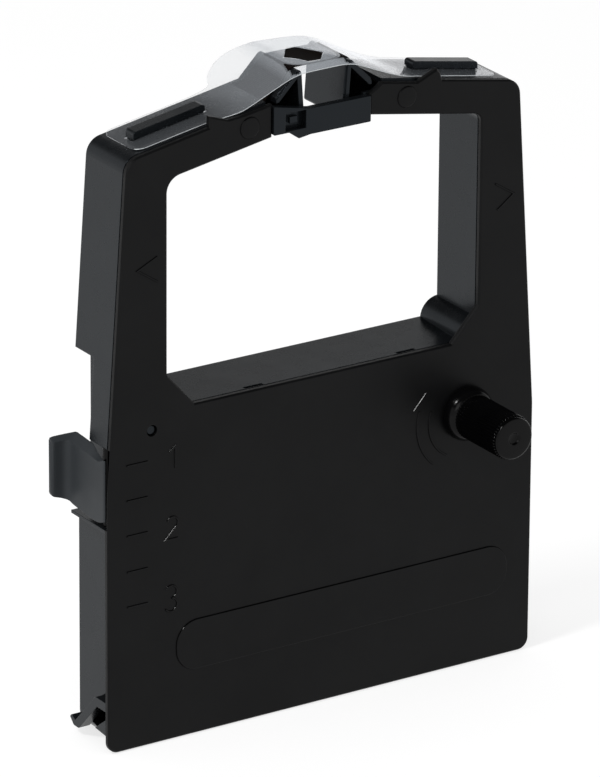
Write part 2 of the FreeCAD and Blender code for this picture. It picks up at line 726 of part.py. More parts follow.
def cover_corners():
    """Cover outline with its fins, chamfered window corners and plain arm ends."""
    left = [
        (-HALF_WIDTH, 0, BASE_R),
        (-HALF_WIDTH, KINK_Z, KINK_R),
        (-SHOULDER_HALF, SHOULDER_Z, SHOULDER_R),
        (-FIN_X, roof(FIN_X), 0),
        (-FIN_X, roof(FIN_X) + FIN_RISE, 0),
        (-FIN_TAIL_X, roof(FIN_TAIL_X), 0),
        (-ARM_TOP_SHOULDER_X, ARM_TOP_SHOULDER_Z, 0),
        (-LEFT_ARM_END_X, ARM_TOP_END_Z, 0),
        (-LEFT_ARM_END_X, under(LEFT_ARM_END_X), 0),
        (-WINDOW_HALF, UNDER_Z, WINDOW_TOP_LEFT_R),
        (-WINDOW_HALF, CHAMFER_HIGH_Z, 0),
        (-CHAMFER_LOW_X, SILL_Z, 0),
    ]
    right = [
        (HALF_WIDTH, 0, BASE_R),
        (HALF_WIDTH, KINK_Z, KINK_R),
        (SHOULDER_HALF, SHOULDER_Z, SHOULDER_R),
        (FIN_X, roof(FIN_X), 0),
        (RIGHT_FIN_OUT_X, roof(RIGHT_FIN_OUT_X) + RIGHT_FIN_OUT_RISE, 0),
        (RIGHT_FIN_TIP_X, roof(RIGHT_FIN_TIP_X) + RIGHT_FIN_TIP_RISE, 0),
        (RIGHT_FIN_FOOT_X, roof(RIGHT_FIN_FOOT_X) - RIGHT_FIN_FOOT_DROP, 0),
        (RIGHT_ARM_TOP_X, NOSE_Z - RIGHT_ARM_TOP_DROP, 0),
        (RIGHT_ARM_END_X, NOSE_Z - RIGHT_ARM_END_DROP, 0),
        (RIGHT_ARM_END_X, under(RIGHT_ARM_END_X), 0),
        (WINDOW_HALF, UNDER_Z, WINDOW_TOP_RIGHT_R),
        (WINDOW_HALF, CHAMFER_HIGH_Z, 0),
        (CHAMFER_LOW_X, SILL_Z, 0),
    ]
    return left + list(reversed(right))


def cover_tab(x):
    """One snap tab under the sill with its catch in the notch."""
    top = SILL_Z - WALL - STATIC_GAP
    half = TAB_WIDTH / 2
    tongue = block(x - half, x + half, COVER_THICK / 2, COVER_THICK + TAB_LENGTH, top - TAB_THICK, top)
    catch_start = NOTCH_START + STATIC_GAP
    catch = block(x - half, x + half, catch_start, NOTCH_END - STATIC_GAP, top - TAB_THICK, top + CATCH_RISE)
    return tongue.fuse(catch)


def build_front_cover():
    """Flat cover plate with panel, holes, seats for the guide pins, pegs and snap tabs."""
    plate = slab(cover_corners(), 0, COVER_THICK)
    edges = [e for e in plate.Edges if abs(e.BoundBox.YMax - back(0)) < 1e-6]
    plate = plate.makeChamfer(FRONT_EDGE, edges)
    panel = [
        (PANEL_LEFT_X, PANEL_LOW_Z, PANEL_R),
        (PANEL_LEFT_X, PANEL_TOP_Z, PANEL_R),
        (PANEL_RIGHT_X, PANEL_TOP_Z, PANEL_R),
        (PANEL_RIGHT_X, PANEL_LOW_Z, PANEL_R),
    ]
    plate = plate.cut(slab(panel, -1, PANEL_DEPTH))
    plate = plate.cut(block(-HALF_WIDTH - 1, -POCKET_X, COVER_SKIN, COVER_THICK + 1, POCKET_FLOOR_Z, POCKET_TOP_Z))
    plate = plate.cut(round_bar(DRIVE_X, DRIVE_Z, KNOB_SHAFT_R + RUN_GAP, -1, COVER_THICK + 1))
    plate = plate.cut(round_bar(BRAKE_POST_X, BRAKE_POST_Z, PEEP_R, -1, COVER_THICK + 1))
    for x, drop in ((LEFT_PIN_X, LEFT_PIN_DROP), (RIGHT_PIN_X, RIGHT_PIN_DROP)):
        seat_depth = PIN_HEAD_THICK - PIN_HEAD_RISE
        z = roof(x) - drop
        plate = plate.cut(round_bar(x, z, PIN_HEAD_R + STATIC_GAP, -1, seat_depth))
        plate = plate.cut(square_bar(x, z, PIN_HALF + STATIC_GAP, 0, COVER_THICK + 1))
    pegs = [square_bar(x, PEG_Z, PEG_HALF, COVER_THICK / 2, COVER_THICK + PEG_LENGTH) for x in PEG_X]
    tabs = [cover_tab(x) for x in TAB_CENTRES_X]
    return plate.multiFuse(pegs + tabs).removeSplitter()


def toothed_wheel(x, z, radius, teeth, start, end):
    """Straight-toothed wheel along the depth."""
    points = []
    pitch = 2 * math.pi / teeth
    for i in range(teeth):
        for share, r in ((0, radius), (0.5, radius - TOOTH_DEPTH)):
            angle = (i + share) * pitch
            points.append((x + r * math.cos(angle), z + r * math.sin(angle)))
    return plain_slab(points, start, end)


def ring(x, z, outer, inner, start, end):
    """Round ring along the depth."""
    return round_bar(x, z, outer, start, end).cut(round_bar(x, z, inner, start - 1, end + 1))


def build_drive_wheel():
    """Toothed drive wheel with a stripper groove, rear journal, socket and square front hole."""
    wheel = toothed_wheel(DRIVE_X, DRIVE_Z, DRIVE_R, DRIVE_TEETH, WHEEL_START, WHEEL_END)
    half = STRIP_GROOVE_WIDTH / 2
    groove = ring(DRIVE_X, DRIVE_Z, DRIVE_R + 1, STRIP_GROOVE_R, STRIP_CENTRE - half, STRIP_CENTRE + half)
    wheel = wheel.cut(groove)
    wheel = wheel.fuse(round_bar(DRIVE_X, DRIVE_Z, JOURNAL_R, WHEEL_END - 1, DEPTH))
    wheel = wheel.cut(round_bar(DRIVE_X, DRIVE_Z, DRIVE_BORE_R, DEPTH - DRIVE_BORE_LENGTH, DEPTH + 1))
    hole_end = WHEEL_START + KEY_LENGTH + STATIC_GAP
    return wheel.cut(square_bar(DRIVE_X, DRIVE_Z, KEY_HALF + STATIC_GAP, WHEEL_START - 1, hole_end))


def build_hand_knob():
    """Knob with fine ribs, a round collar, a smooth end with a dimple, and a keyed shaft."""
    collar_front = -KNOB_GAP - KNOB_COLLAR_THICK
    collar = round_bar(DRIVE_X, DRIVE_Z, KNOB_COLLAR_R, collar_front, -KNOB_GAP)
    edges = [e for e in collar.Edges if abs(e.BoundBox.YMax - back(collar_front)) < 1e-6]
    collar = collar.makeChamfer(KNOB_COLLAR_EDGE, edges)
    neck = round_bar(DRIVE_X, DRIVE_Z, KNOB_NECK_R, collar_front - KNOB_NECK_LENGTH, collar_front)
    points = []
    pitch = 2 * math.pi / KNOB_RIBS
    for i in range(KNOB_RIBS):
        for share, r in ((-0.32, KNOB_ROOT_R), (-0.16, KNOB_RIB_R), (0.16, KNOB_RIB_R), (0.32, KNOB_ROOT_R)):
            angle = (i + share) * pitch
            points.append((DRIVE_X + r * math.cos(angle), DRIVE_Z + r * math.sin(angle)))
    grip = plain_slab(points, -KNOB_END + KNOB_CAP_THICK, collar_front - KNOB_NECK_LENGTH)
    cap = round_bar(DRIVE_X, DRIVE_Z, KNOB_CAP_R, -KNOB_END, -KNOB_END + KNOB_CAP_THICK)
    rim = [e for e in cap.Edges if abs(e.BoundBox.YMax - back(-KNOB_END)) < 1e-6]
    cap = cap.makeChamfer(KNOB_CAP_EDGE, rim)
    cap = cap.cut(round_bar(DRIVE_X, DRIVE_Z, DIMPLE_R, -KNOB_END - 1, -KNOB_END + DIMPLE_DEPTH))
    shaft = round_bar(DRIVE_X, DRIVE_Z, KNOB_SHAFT_R, -KNOB_GAP - 1, WHEEL_START)
    square = square_bar(DRIVE_X, DRIVE_Z, KEY_HALF, WHEEL_START - 1, WHEEL_START + KEY_LENGTH)
    return collar.multiFuse([neck, grip, cap, shaft, square]).removeSplitter()


def build_idler_wheel():
    """Small toothed wheel that pinches the ribbon against the drive wheel."""
    wheel = toothed_wheel(IDLER_X, DRIVE_Z, IDLER_R, IDLER_TEETH, WHEEL_START, WHEEL_END)
    return wheel.cut(round_bar(IDLER_X, DRIVE_Z, AXLE_R + RUN_GAP, WHEEL_START - 1, WHEEL_END + 1))


def build_idler_arm():
    """Swinging arm: hub on the pivot post, flat plate and the idler wheel's axle."""
    run = V(IDLER_X - BULGE_X, 0, DRIVE_Z - BULGE_Z)
    across = V(-run.z, 0, run.x).normalize() * ARM_HALF
    points = []
    for x, z, sign in ((BULGE_X, BULGE_Z, 1), (IDLER_X, DRIVE_Z, 1), (IDLER_X, DRIVE_Z, -1), (BULGE_X, BULGE_Z, -1)):
        points.append((x + sign * across.x, z + sign * across.z))
    plate = plain_slab(points, ARM_START, ARM_END)
    tip = round_bar(IDLER_X, DRIVE_Z, ARM_HALF, ARM_START, ARM_END)
    hub = round_bar(BULGE_X, BULGE_Z, HUB_R, ARM_START, HUB_END)
    axle = round_bar(IDLER_X, DRIVE_Z, AXLE_R, ARM_START, WHEEL_END + STATIC_GAP)
    arm = plate.multiFuse([tip, hub, axle])
    return arm.cut(round_bar(BULGE_X, BULGE_Z, PIVOT_R + RUN_GAP, 0, HUB_END + 1)).removeSplitter()


def bar_between(ax, az, bx, bz, thick, start, end):
    """Straight strip between two points, seen from the front."""
    run = V(bx - ax, 0, bz - az).normalize()
    half = V(-run.z, 0, run.x) * (thick / 2)
    points = [
        (ax + half.x, az + half.z),
        (bx + half.x, bz + half.z),
        (bx - half.x, bz - half.z),
        (ax - half.x, az - half.z),
    ]
    return plain_slab(points, start, end)


def build_idler_spring():
    """Hairpin spring: one leg on the arm's edge, a loop round its post, one leg on the wall."""
    inner = SPRING_POST_R + STATIC_GAP
    middle = inner + SPRING_THICK / 2
    loop = ring(SPRING_POST_X, SPRING_POST_Z, inner + SPRING_THICK, inner, SPRING_START, SPRING_END)
    run = V(IDLER_X - BULGE_X, 0, DRIVE_Z - BULGE_Z).normalize()
    along = (SPRING_TOUCH_Z - BULGE_Z) / run.z
    reach = ARM_HALF + SPRING_THICK / 2 + STATIC_GAP
    touch_x = BULGE_X + along * run.x - run.z * reach
    touch_z = SPRING_TOUCH_Z + run.x * reach
    leg = bar_between(SPRING_POST_X - middle, SPRING_POST_Z, touch_x, touch_z, SPRING_THICK, SPRING_START, SPRING_END)
    wall_z = SPRING_POST_Z + 2 * middle
    wall_x = side(wall_z) - WALL - STATIC_GAP - SPRING_THICK
    stay = bar_between(SPRING_POST_X, SPRING_POST_Z + middle, wall_x, wall_z, SPRING_THICK, SPRING_START, SPRING_END)
    return loop.multiFuse([leg, stay]).removeSplitter()


def build_brake_spring():
    """Flat spring that holds the felt pad against the ribbon."""
    wall_x = -POCKET_X + WALL + STATIC_GAP
    pad_x = BRAKE_POST_X - BRAKE_POST_R - RIBBON_GAP - RIBBON_THICK - PAD_GAP - PAD_THICK
    bend_z = BRAKE_CLIP_Z + BRAKE_CLIP_HEIGHT + 1.0
    points = [
        (wall_x, BRAKE_CLIP_Z),
        (wall_x, bend_z),
        (pad_x - BRAKE_LEAF, BRAKE_POST_Z - PAD_HALF),
        (pad_x - BRAKE_LEAF, BRAKE_TOP_Z),
        (pad_x, BRAKE_TOP_Z),
        (pad_x, BRAKE_POST_Z - PAD_HALF),
        (wall_x + BRAKE_LEAF, bend_z),
        (wall_x + BRAKE_LEAF, BRAKE_CLIP_Z),
    ]
    return plain_slab(points, PAD_START, PAD_END)


def build_brake_pad():
    """Felt block on the brake spring."""
    right = BRAKE_POST_X - BRAKE_POST_R - RIBBON_GAP - RIBBON_THICK - PAD_GAP
    low = BRAKE_POST_Z - PAD_HALF
    return block(right - PAD_THICK, right, PAD_START, PAD_END, low, BRAKE_POST_Z + PAD_HALF)


def latch_inner_x(depth):
    """Inner face of the latch plate at one depth."""
    front = LATCH_FRONT_X + LATCH_FRONT_THICK
    share = (depth - LATCH_FRONT_DEPTH) / (LATCH_END - LATCH_FRONT_DEPTH)
    return front + share * (LATCH_THICK - HALF_WIDTH - front)


def latch_outlines():
    """Plan of the latch, its side outline that rises to the back, and its front outline."""
    plan = [
        (LATCH_FRONT_X, LATCH_FRONT_DEPTH, LATCH_FRONT_R),
        (-HALF_WIDTH, FLANGE_START, FLANGE_BEND_R),
        (FLANGE_X, FLANGE_START, FLANGE_EDGE_R),
        (FLANGE_X, LATCH_END, FLANGE_EDGE_R),
        (LATCH_THICK - HALF_WIDTH, LATCH_END, FLANGE_EDGE_R),
        (LATCH_FRONT_X + LATCH_FRONT_THICK, LATCH_FRONT_DEPTH, LATCH_FRONT_R),
    ]
    points = [V(x, back(depth), LATCH_LOW_Z) for x, depth, radius in plan]
    tall = V(0, 0, POCKET_TOP_Z - LATCH_LOW_Z)
    plan_block = Part.Face(closed_wire(points, [radius for x, depth, radius in plan])).extrude(tall)
    rising = [
        (0, LATCH_LOW_Z, 0),
        (0, LATCH_TOP_Z, 0),
        (DEPTH, LATCH_TOP_Z + LATCH_TOP_RISE, 0),
        (DEPTH, LATCH_LOW_Z + LATCH_LOW_RISE, 0),
    ]
    side_block = side_slab(rising, FLANGE_X - 1, -POCKET_X)
    front = [
        (-POCKET_X, LATCH_LOW_Z, 0),
        (-HALF_WIDTH, LATCH_LOW_Z + LATCH_LOW_RISE / 2, 0),
        (FLANGE_X, FLANGE_LOW_OUT_Z, FLANGE_CORNER_R),
        (FLANGE_X, LATCH_TOP_Z + LATCH_TOP_RISE, FLANGE_CORNER_R),
        (-POCKET_X, LATCH_TOP_Z + LATCH_TOP_RISE, 0),
    ]
    return plan_block, side_block, slab(front, 0, DEPTH)


def build_side_latch():
    """Latch lever: hinge barrel, plate and finger flange."""
    axis = V(LATCH_AXIS_X, back(LATCH_AXIS_DEPTH), LATCH_LOW_Z)
    barrel = Part.makeCylinder(LATCH_BARREL_R, LATCH_TOP_Z - LATCH_LOW_Z, axis)
    plan_block, side_block, front_block = latch_outlines()
    latch = plan_block.fuse(barrel).common(side_block).common(front_block)
    bore = Part.makeCylinder(LATCH_PIN_R + RUN_GAP, POCKET_TOP_Z - LATCH_LOW_Z, axis - V(0, 0, 1))
    return latch.cut(bore).removeSplitter()


def build_latch_pin():
    """Steel pin that the latch turns on."""
    length = LATCH_PIN_TOP_Z - LATCH_PIN_LOW_Z
    return Part.makeCylinder(LATCH_PIN_R, length, V(LATCH_AXIS_X, back(LATCH_AXIS_DEPTH), LATCH_PIN_LOW_Z))


def build_latch_spring():
    """Bent strip between the pocket wall and the latch plate."""
    wall_x = -POCKET_X - STATIC_GAP
    plate_x = latch_inner_x(LATCH_SPRING_BACK) + STATIC_GAP
    t = LATCH_SPRING_THICK
    z = LATCH_SPRING_LOW_Z
    middle = (LATCH_SPRING_FRONT + LATCH_SPRING_BACK) / 2
    plan = [
        V(wall_x - t, back(LATCH_SPRING_FRONT), z),
        V(wall_x, back(LATCH_SPRING_FRONT), z),
        V(wall_x, back(middle), z),
        V(plate_x + t, back(LATCH_SPRING_BACK), z),
        V(plate_x, back(LATCH_SPRING_BACK), z),
        V(wall_x - t, back(middle - t), z),
    ]
    return Part.Face(closed_wire(plan, [0] * len(plan))).extrude(V(0, 0, LATCH_SPRING_TOP_Z - z))


def build_guide_pin(x, drop):
    """Square guide pin across an arm with a round flat head seated in the cover."""
    z = roof(x) - drop
    head = round_bar(x, z, PIN_HEAD_R, -PIN_HEAD_RISE, PIN_HEAD_THICK - PIN_HEAD_RISE)
    return head.fuse(square_bar(x, z, PIN_HALF, 0, PIN_END)).removeSplitter()


def build_guide_roller(sign):
    """Free-turning sleeve on a shoulder post."""
    return ring(sign * ROLLER_X, ROLLER_Z, ROLLER_R, ROLLER_POST_R + RUN_GAP, WHEEL_START, WHEEL_END)


def build_ribbon_stripper():
    """Finger in the drive wheel's groove that peels the ribbon off its teeth."""
    half = FINGER_WIDTH / 2
    foot_x = RIB_X + RIB_THICK + STATIC_GAP
    points = [
        (DRIVE_X + FINGER_TIP_X, DRIVE_Z - STRIP_GROOVE_R - FINGER_TIP_TOP),
        (foot_x, STRIPPER_FOOT_Z + STRIPPER_THICK),
        (foot_x, STRIPPER_FOOT_Z),
        (DRIVE_X + FINGER_TIP_X, DRIVE_Z - STRIP_GROOVE_R - FINGER_TIP_LOW),
    ]
    finger = plain_slab(points, STRIP_CENTRE - half, STRIP_CENTRE + half)
    foot = block(foot_x, foot_x + STRIPPER_THICK, PAD_START, PAD_END, STRIPPER_FOOT_Z, STRIPPER_TOP_Z)
    return foot.fuse(finger).removeSplitter()


def turn_circles():
    """Circles the ribbon runs round, in order: x, z, radius, and 1 for clockwise or -1."""
    half = RIBBON_THICK / 2
    tip_r = HORN_TIP_R + RIBBON_GAP + half
    roller_r = ROLLER_R + RIBBON_ROLLER_GAP + half
    tip = horn_tip_centre()
    end_x = ROOF_END_X + WALL / 2
    end_z = roof(end_x) - WALL / 2
    circles = [
        (-tip.x, tip.z, tip_r, 1),
        (tip.x, tip.z, tip_r, 1),
        (end_x, end_z, ROOF_END_TURN_R, -1),
        (ROLLER_X, ROLLER_Z, roller_r, 1),
        (DRIVE_X, DRIVE_Z, RIBBON_DRIVE_R, 1),
    ]
    for i in range(FOLD_COUNT):
        x = FOLD_FIRST_X - 4 * FOLD_R * i
        circles.append((x, FOLD_LOW_Z, FOLD_R, 1))
        if i < FOLD_COUNT - 1:
            top_x = x - 2 * FOLD_R
            top_z = FOLD_LOW_TOP_Z if top_x > RIB_X - 2 * FOLD_R else FOLD_HIGH_TOP_Z
            circles.append((top_x, top_z, FOLD_R, -1))
    circles.append((BRAKE_POST_X, BRAKE_POST_Z, BRAKE_POST_R + RIBBON_GAP + half, 1))
    circles.append((-ROLLER_X, ROLLER_Z, roller_r, 1))
    circles.append((-end_x, end_z, ROOF_END_TURN_R, -1))
    return circles


def horn_tip_centre():
    """Centre of the rounded tip of the right horn."""
    tip = V(HORN_TIP_X, 0, HORN_TIP_Z)
    down_slope = (V(HORN_FOOT_X, 0, roof(HORN_FOOT_X)) - tip).normalize()
    down_blade = (V(BLADE_X, 0, BLADE_Z) - tip).normalize()
    half = down_slope.getAngle(down_blade) / 2
    return tip + (down_slope + down_blade).normalize() * (HORN_TIP_R / math.sin(half))


def tangent(first, second):
    """Points where a straight run leaves the first circle and meets the second."""
    ax, az, ar, aturn = first
    bx, bz, br, bturn = second
    span = math.hypot(bx - ax, bz - az)
    heading = math.atan2(bz - az, bx - ax)
    lean = math.asin((aturn * ar - bturn * br) / span)
    direction = heading - lean
    nx = -math.sin(direction)
    nz = math.cos(direction)
    leave = (ax + aturn * ar * nx, az + aturn * ar * nz)
    meet = (bx + bturn * br * nx, bz + bturn * br * nz)
    return leave, meet


def turn_points(circle, start, end, shift):
    """Points along one turn from start to end, moved outwards from its centre by shift."""
    x, z, radius, turn = circle
    a0 = math.atan2(start[1] - z, start[0] - x)
    a1 = math.atan2(end[1] - z, end[0] - x)
    sweep = (a0 - a1) % (2 * math.pi) if turn > 0 else (a1 - a0) % (2 * math.pi)
    r = radius + shift
    y = back(RIBBON_START)
    points = []
    for i in range(FOLD_FLATS + 1):
        angle = a0 - turn * sweep * i / FOLD_FLATS
        points.append(V(x + r * math.cos(angle), y, z + r * math.sin(angle)))
    return points


def ribbon_side(circles, offset):
    """Closed wire of the ribbon's line moved to its left by offset."""
    count = len(circles)
    turns = []
    for i in range(count):
        meet = tangent(circles[i - 1], circles[i])[1]
        leave = tangent(circles[i], circles[(i + 1) % count])[0]
        turns.append(turn_points(circles[i], meet, leave, offset * circles[i][3]))
    edges = []
    for i in range(count):
        points = turns[i]
        if circles[i][2] == FOLD_R:
            edges.extend(Part.makePolygon(points).Edges)
        else:
            edges.append(Part.Arc(points[0], points[FOLD_FLATS // 2], points[-1]).toShape())
        edges.append(Part.makeLine(points[-1], turns[(i + 1) % count][0]))
    return Part.Wire(edges)


def build_ribbon():
    """Endless inked ribbon: across the nose, round the drive and folded in the chamber."""
    circles = turn_circles()
    half = RIBBON_THICK / 2
    outer = Part.Face(ribbon_side(circles, half))
    inner = Part.Face(ribbon_side(circles, -half))
    band = outer.cut(inner)
    return band.extrude(V(0, RIBBON_END - RIBBON_START, 0))


def build_nose_bridge():
    """Bar across the front of the nose with a square window and a tongue into each arm."""
    plate = slab(
        [
            (BRIDGE_LEFT_X, BRIDGE_LEFT_Z, 0.3),
            (BRIDGE_STEP_X, BRIDGE_TOP_Z, 0),
            (BRIDGE_RIGHT_X, BRIDGE_TOP_Z, 0.3),
            (BRIDGE_RIGHT_X, BRIDGE_LOW_Z, 0.3),
            (BRIDGE_STEP_X, BRIDGE_LOW_Z, 0),
            (TOOTH_X, TOOTH_Z, 0.3),
            (TOOTH_ROOT_X, TOOTH_ROOT_Z, 0),
            (BRIDGE_LEFT_X, TOOTH_ROOT_Z, 0.3),
        ],
        -BRIDGE_RISE,
        COVER_THICK,
    )
    window = block(
        BRIDGE_WINDOW_LEFT_X,
        BRIDGE_WINDOW_RIGHT_X,
        -BRIDGE_RISE - 1,
        COVER_THICK + 1,
        BRIDGE_WINDOW_LOW_Z,
        BRIDGE_WINDOW_TOP_Z,
    )
    rear = COVER_THICK + TONGUE_THICK
    left = block(
        BRIDGE_LEFT_X - TONGUE_REACH, BRIDGE_WINDOW_LEFT_X - 1, COVER_THICK, rear, TONGUE_LOW_Z, TONGUE_TOP_Z
    )
    right = block(
        BRIDGE_RIGHT_X - 1, BRIDGE_RIGHT_X + TONGUE_REACH, COVER_THICK, rear, TONGUE_LOW_Z, TONGUE_TOP_Z
    )
    return plate.cut(window).multiFuse([left, right]).removeSplitter()


def film_line():
    """Points of the film's underside from left to right."""
    return [
        (FILM_END_LEFT_X, roof(FILM_END_LEFT_X) + FILM_LIFT),
        (-FILM_LIFT_X, roof(FILM_LIFT_X) + FILM_LIFT),
        (-FILM_CREST_X, FILM_CREST_Z),
        (FILM_CREST_X, FILM_CREST_Z),
        (FILM_LIFT_X, roof(FILM_LIFT_X) + FILM_LIFT),
        (FILM_END_RIGHT_X, roof(FILM_END_RIGHT_X) + FILM_LIFT),
    ]


def build_film_shield():
    """Clear film over the nose with slots for the rails and a hole over the ribbon."""
    low = film_line()
    high = [(x, z + FILM_THICK) for x, z in reversed(low)]
    bends = [0, 12.0, 9.0, 9.0, 12.0, 0]
    corners = [(x, z, r) for (x, z), r in zip(low, bends)]
    corners += [(x, z, r) for (x, z), r in zip(high, bends)]
    sheet = slab(corners, FILM_WIDE_START - 1, FILM_WIDE_END + 1)
    base_z = roof(SHOULDER_HALF) - WALL
    plan = [
        (FILM_END_LEFT_X, FILM_START, FILM_END_R),
        (FILM_WIDE_LEFT_X - FILM_FLARE, FILM_START, 0),
        (FILM_WIDE_LEFT_X, FILM_WIDE_START, FILM_END_R),
        (FILM_WIDE_RIGHT_X, FILM_WIDE_START, FILM_END_R),
        (FILM_WIDE_RIGHT_X + FILM_FLARE, FILM_START, 0),
        (FILM_END_RIGHT_X, FILM_START, FILM_END_R),
        (FILM_END_RIGHT_X, FILM_END, FILM_END_R),
        (FILM_WIDE_RIGHT_X + FILM_FLARE, FILM_END, 0),
        (FILM_WIDE_RIGHT_X, FILM_WIDE_END, FILM_END_R),
        (FILM_WIDE_LEFT_X, FILM_WIDE_END, FILM_END_R),
        (FILM_WIDE_LEFT_X - FILM_FLARE, FILM_END, 0),
        (FILM_END_LEFT_X, FILM_END, FILM_END_R),
    ]
    points = [V(x, back(depth), base_z) for x, depth, r in plan]
    tall = V(0, 0, HORN_TIP_Z - base_z + WALL)
    outline = Part.Face(closed_wire(points, [r for x, depth, r in plan])).extrude(tall)
    film = sheet.common(outline)
    for sign in (-1, 1):
        x0 = min(sign * RAIL_IN_X, sign * RAIL_OUT_X) - FILM_SLOT_GAP
        x1 = max(sign * RAIL_IN_X, sign * RAIL_OUT_X) + FILM_SLOT_GAP
        slot = block(x0, x1, RAIL_STEM_START - FILM_SLOT_GAP, RAIL_STEM_END + FILM_SLOT_GAP, base_z, HORN_TIP_Z)
        film = film.cut(slot)
    hole_points = [V(x, back(depth), base_z) for x, depth in FILM_HOLE]
    hole = Part.Face(closed_wire(hole_points, [0] * len(hole_points))).extrude(tall)
    return film.cut(hole)


save(build_rear_housing(), "rear_housing")
save(build_front_cover(), "front_cover")
save(build_hand_knob(), "hand_knob")
save(build_drive_wheel(), "drive_wheel")
save(build_idler_wheel(), "idler_wheel")
save(build_idler_arm(), "idler_arm")
save(build_idler_spring(), "idler_spring")
save(build_ribbon(), "ribbon")
save(build_brake_spring(), "brake_spring")
save(build_brake_pad(), "brake_pad")
save(build_ribbon_stripper(), "ribbon_stripper")
save(build_film_shield(), "film_shield")
save(build_nose_bridge(), "nose_bridge")
save(build_side_latch(), "side_latch")
save(build_latch_pin(), "latch_pin")
save(build_latch_spring(), "latch_spring")
save(build_guide_pin(LEFT_PIN_X, LEFT_PIN_DROP), "guide_pin_left")
save(build_guide_pin(RIGHT_PIN_X, RIGHT_PIN_DROP), "guide_pin_right")
save(build_guide_roller(-1), "guide_roller_left")
save(build_guide_roller(1), "guide_roller_right")
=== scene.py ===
import json
import math

import bmesh
import bpy
from mathutils import Matrix, Vector


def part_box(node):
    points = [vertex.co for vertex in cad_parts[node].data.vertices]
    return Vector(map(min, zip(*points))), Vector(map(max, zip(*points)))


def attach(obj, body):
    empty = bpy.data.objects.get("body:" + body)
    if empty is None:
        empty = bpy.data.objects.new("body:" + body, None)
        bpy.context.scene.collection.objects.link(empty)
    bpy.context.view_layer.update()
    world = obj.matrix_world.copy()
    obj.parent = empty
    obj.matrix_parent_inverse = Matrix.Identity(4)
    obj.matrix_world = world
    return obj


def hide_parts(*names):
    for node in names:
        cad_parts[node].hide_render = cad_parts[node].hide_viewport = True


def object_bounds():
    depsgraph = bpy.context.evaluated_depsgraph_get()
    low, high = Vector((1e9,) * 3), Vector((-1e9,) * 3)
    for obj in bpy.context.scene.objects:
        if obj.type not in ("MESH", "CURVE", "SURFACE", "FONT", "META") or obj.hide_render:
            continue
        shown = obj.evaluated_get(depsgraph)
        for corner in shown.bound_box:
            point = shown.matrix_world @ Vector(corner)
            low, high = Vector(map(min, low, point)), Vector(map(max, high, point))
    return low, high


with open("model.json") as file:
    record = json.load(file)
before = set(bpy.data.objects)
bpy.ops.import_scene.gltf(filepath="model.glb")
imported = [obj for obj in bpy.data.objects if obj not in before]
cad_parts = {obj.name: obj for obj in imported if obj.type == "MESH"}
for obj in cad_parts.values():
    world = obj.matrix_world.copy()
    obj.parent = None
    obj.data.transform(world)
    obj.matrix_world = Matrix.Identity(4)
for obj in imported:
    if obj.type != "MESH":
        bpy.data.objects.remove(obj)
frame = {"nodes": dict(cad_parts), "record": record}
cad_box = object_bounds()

# A ribbon cartridge for a dot-matrix printer, dressed around its solids.
# Lengths are in metres; MM turns millimetres into metres.
# X runs to the viewer's right, Y from the cover to the back, Z up.
MM = 0.001

nodes = frame["nodes"]
COVER_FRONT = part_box("front_cover")[0][1]


def at(x, depth, z):
    """Point from millimetres: x, depth behind the cover's front face, and height."""
    return Vector((x * MM, COVER_FRONT + depth * MM, z * MM))


# Camera
IMAGE_LONG_SIDE = 777
FOCAL_PIXELS = 7255.7
SENSOR = 36.0
AZIMUTH = math.radians(33.115)
ELEVATION = math.radians(21.407)
ROLL = math.radians(0.42)
AIM = at(-7.38, 0, 86.49)
DISTANCE = 1804.3 * MM
CLIP = (0.1, 20)


def make_camera():
    """Camera at the photograph's viewing angle."""
    data = bpy.data.cameras.new("camera")
    data.sensor_fit = "AUTO"
    data.sensor_width = SENSOR
    data.lens = FOCAL_PIXELS / IMAGE_LONG_SIDE * SENSOR
    camera = bpy.data.objects.new("camera", data)
    bpy.context.scene.collection.objects.link(camera)
    away = Vector((
        -math.sin(AZIMUTH) * math.cos(ELEVATION),
        -math.cos(AZIMUTH) * math.cos(ELEVATION),
        math.sin(ELEVATION),
    ))
    right = Vector((math.cos(AZIMUTH), -math.sin(AZIMUTH), 0))
    up = away.cross(right)
    turned_right = right * math.cos(ROLL) + up * math.sin(ROLL)
    turned_up = up * math.cos(ROLL) - right * math.sin(ROLL)
    turn = Matrix((turned_right, turned_up, away)).transposed()
    camera.matrix_world = Matrix.Translation(AIM + away * DISTANCE) @ turn.to_4x4()
    data.clip_start, data.clip_end = CLIP
    bpy.context.scene.camera = camera


# Light and floor
WORLD_FILL = 0.62
# height of a direction, and how bright the room is there when it is mirrored
ROOM = ((-1.0, 1.0), (-0.02, 1.0), (0.03, 0.88), (0.4, 0.84), (0.48, 0.05), (1.0, 0.05))
FLOOR_HALF = 3.0
FLOOR_GAP = 0.2 * MM
FLOOR_GLOW = 0.72
FLOOR_SHADE = (0.34, 0.34, 0.34, 1)
WHITE = (1, 1, 1, 1)
LAMP_AIM = (0, 0, 0.09)
# name, place, side of the square and watts
LAMPS = (("key", (-0.75, -0.12, 1.0), 0.16, 6.0), ("front", (-0.9, -1.2, 0.9), 0.8, 4.0))


def shown_ray(tree):
    """Factor that is 1 where the camera, a reflection or a see-through ray looks."""
    path = tree.nodes.new("ShaderNodeLightPath")
    first = tree.nodes.new("ShaderNodeMath")
    first.operation = "MAXIMUM"
    second = tree.nodes.new("ShaderNodeMath")
    second.operation = "MAXIMUM"
    tree.links.new(path.outputs["Is Camera Ray"], first.inputs[0])
    tree.links.new(path.outputs["Is Glossy Ray"], first.inputs[1])
    tree.links.new(first.outputs[0], second.inputs[0])
    tree.links.new(path.outputs["Is Transmission Ray"], second.inputs[1])
    return second.outputs[0]


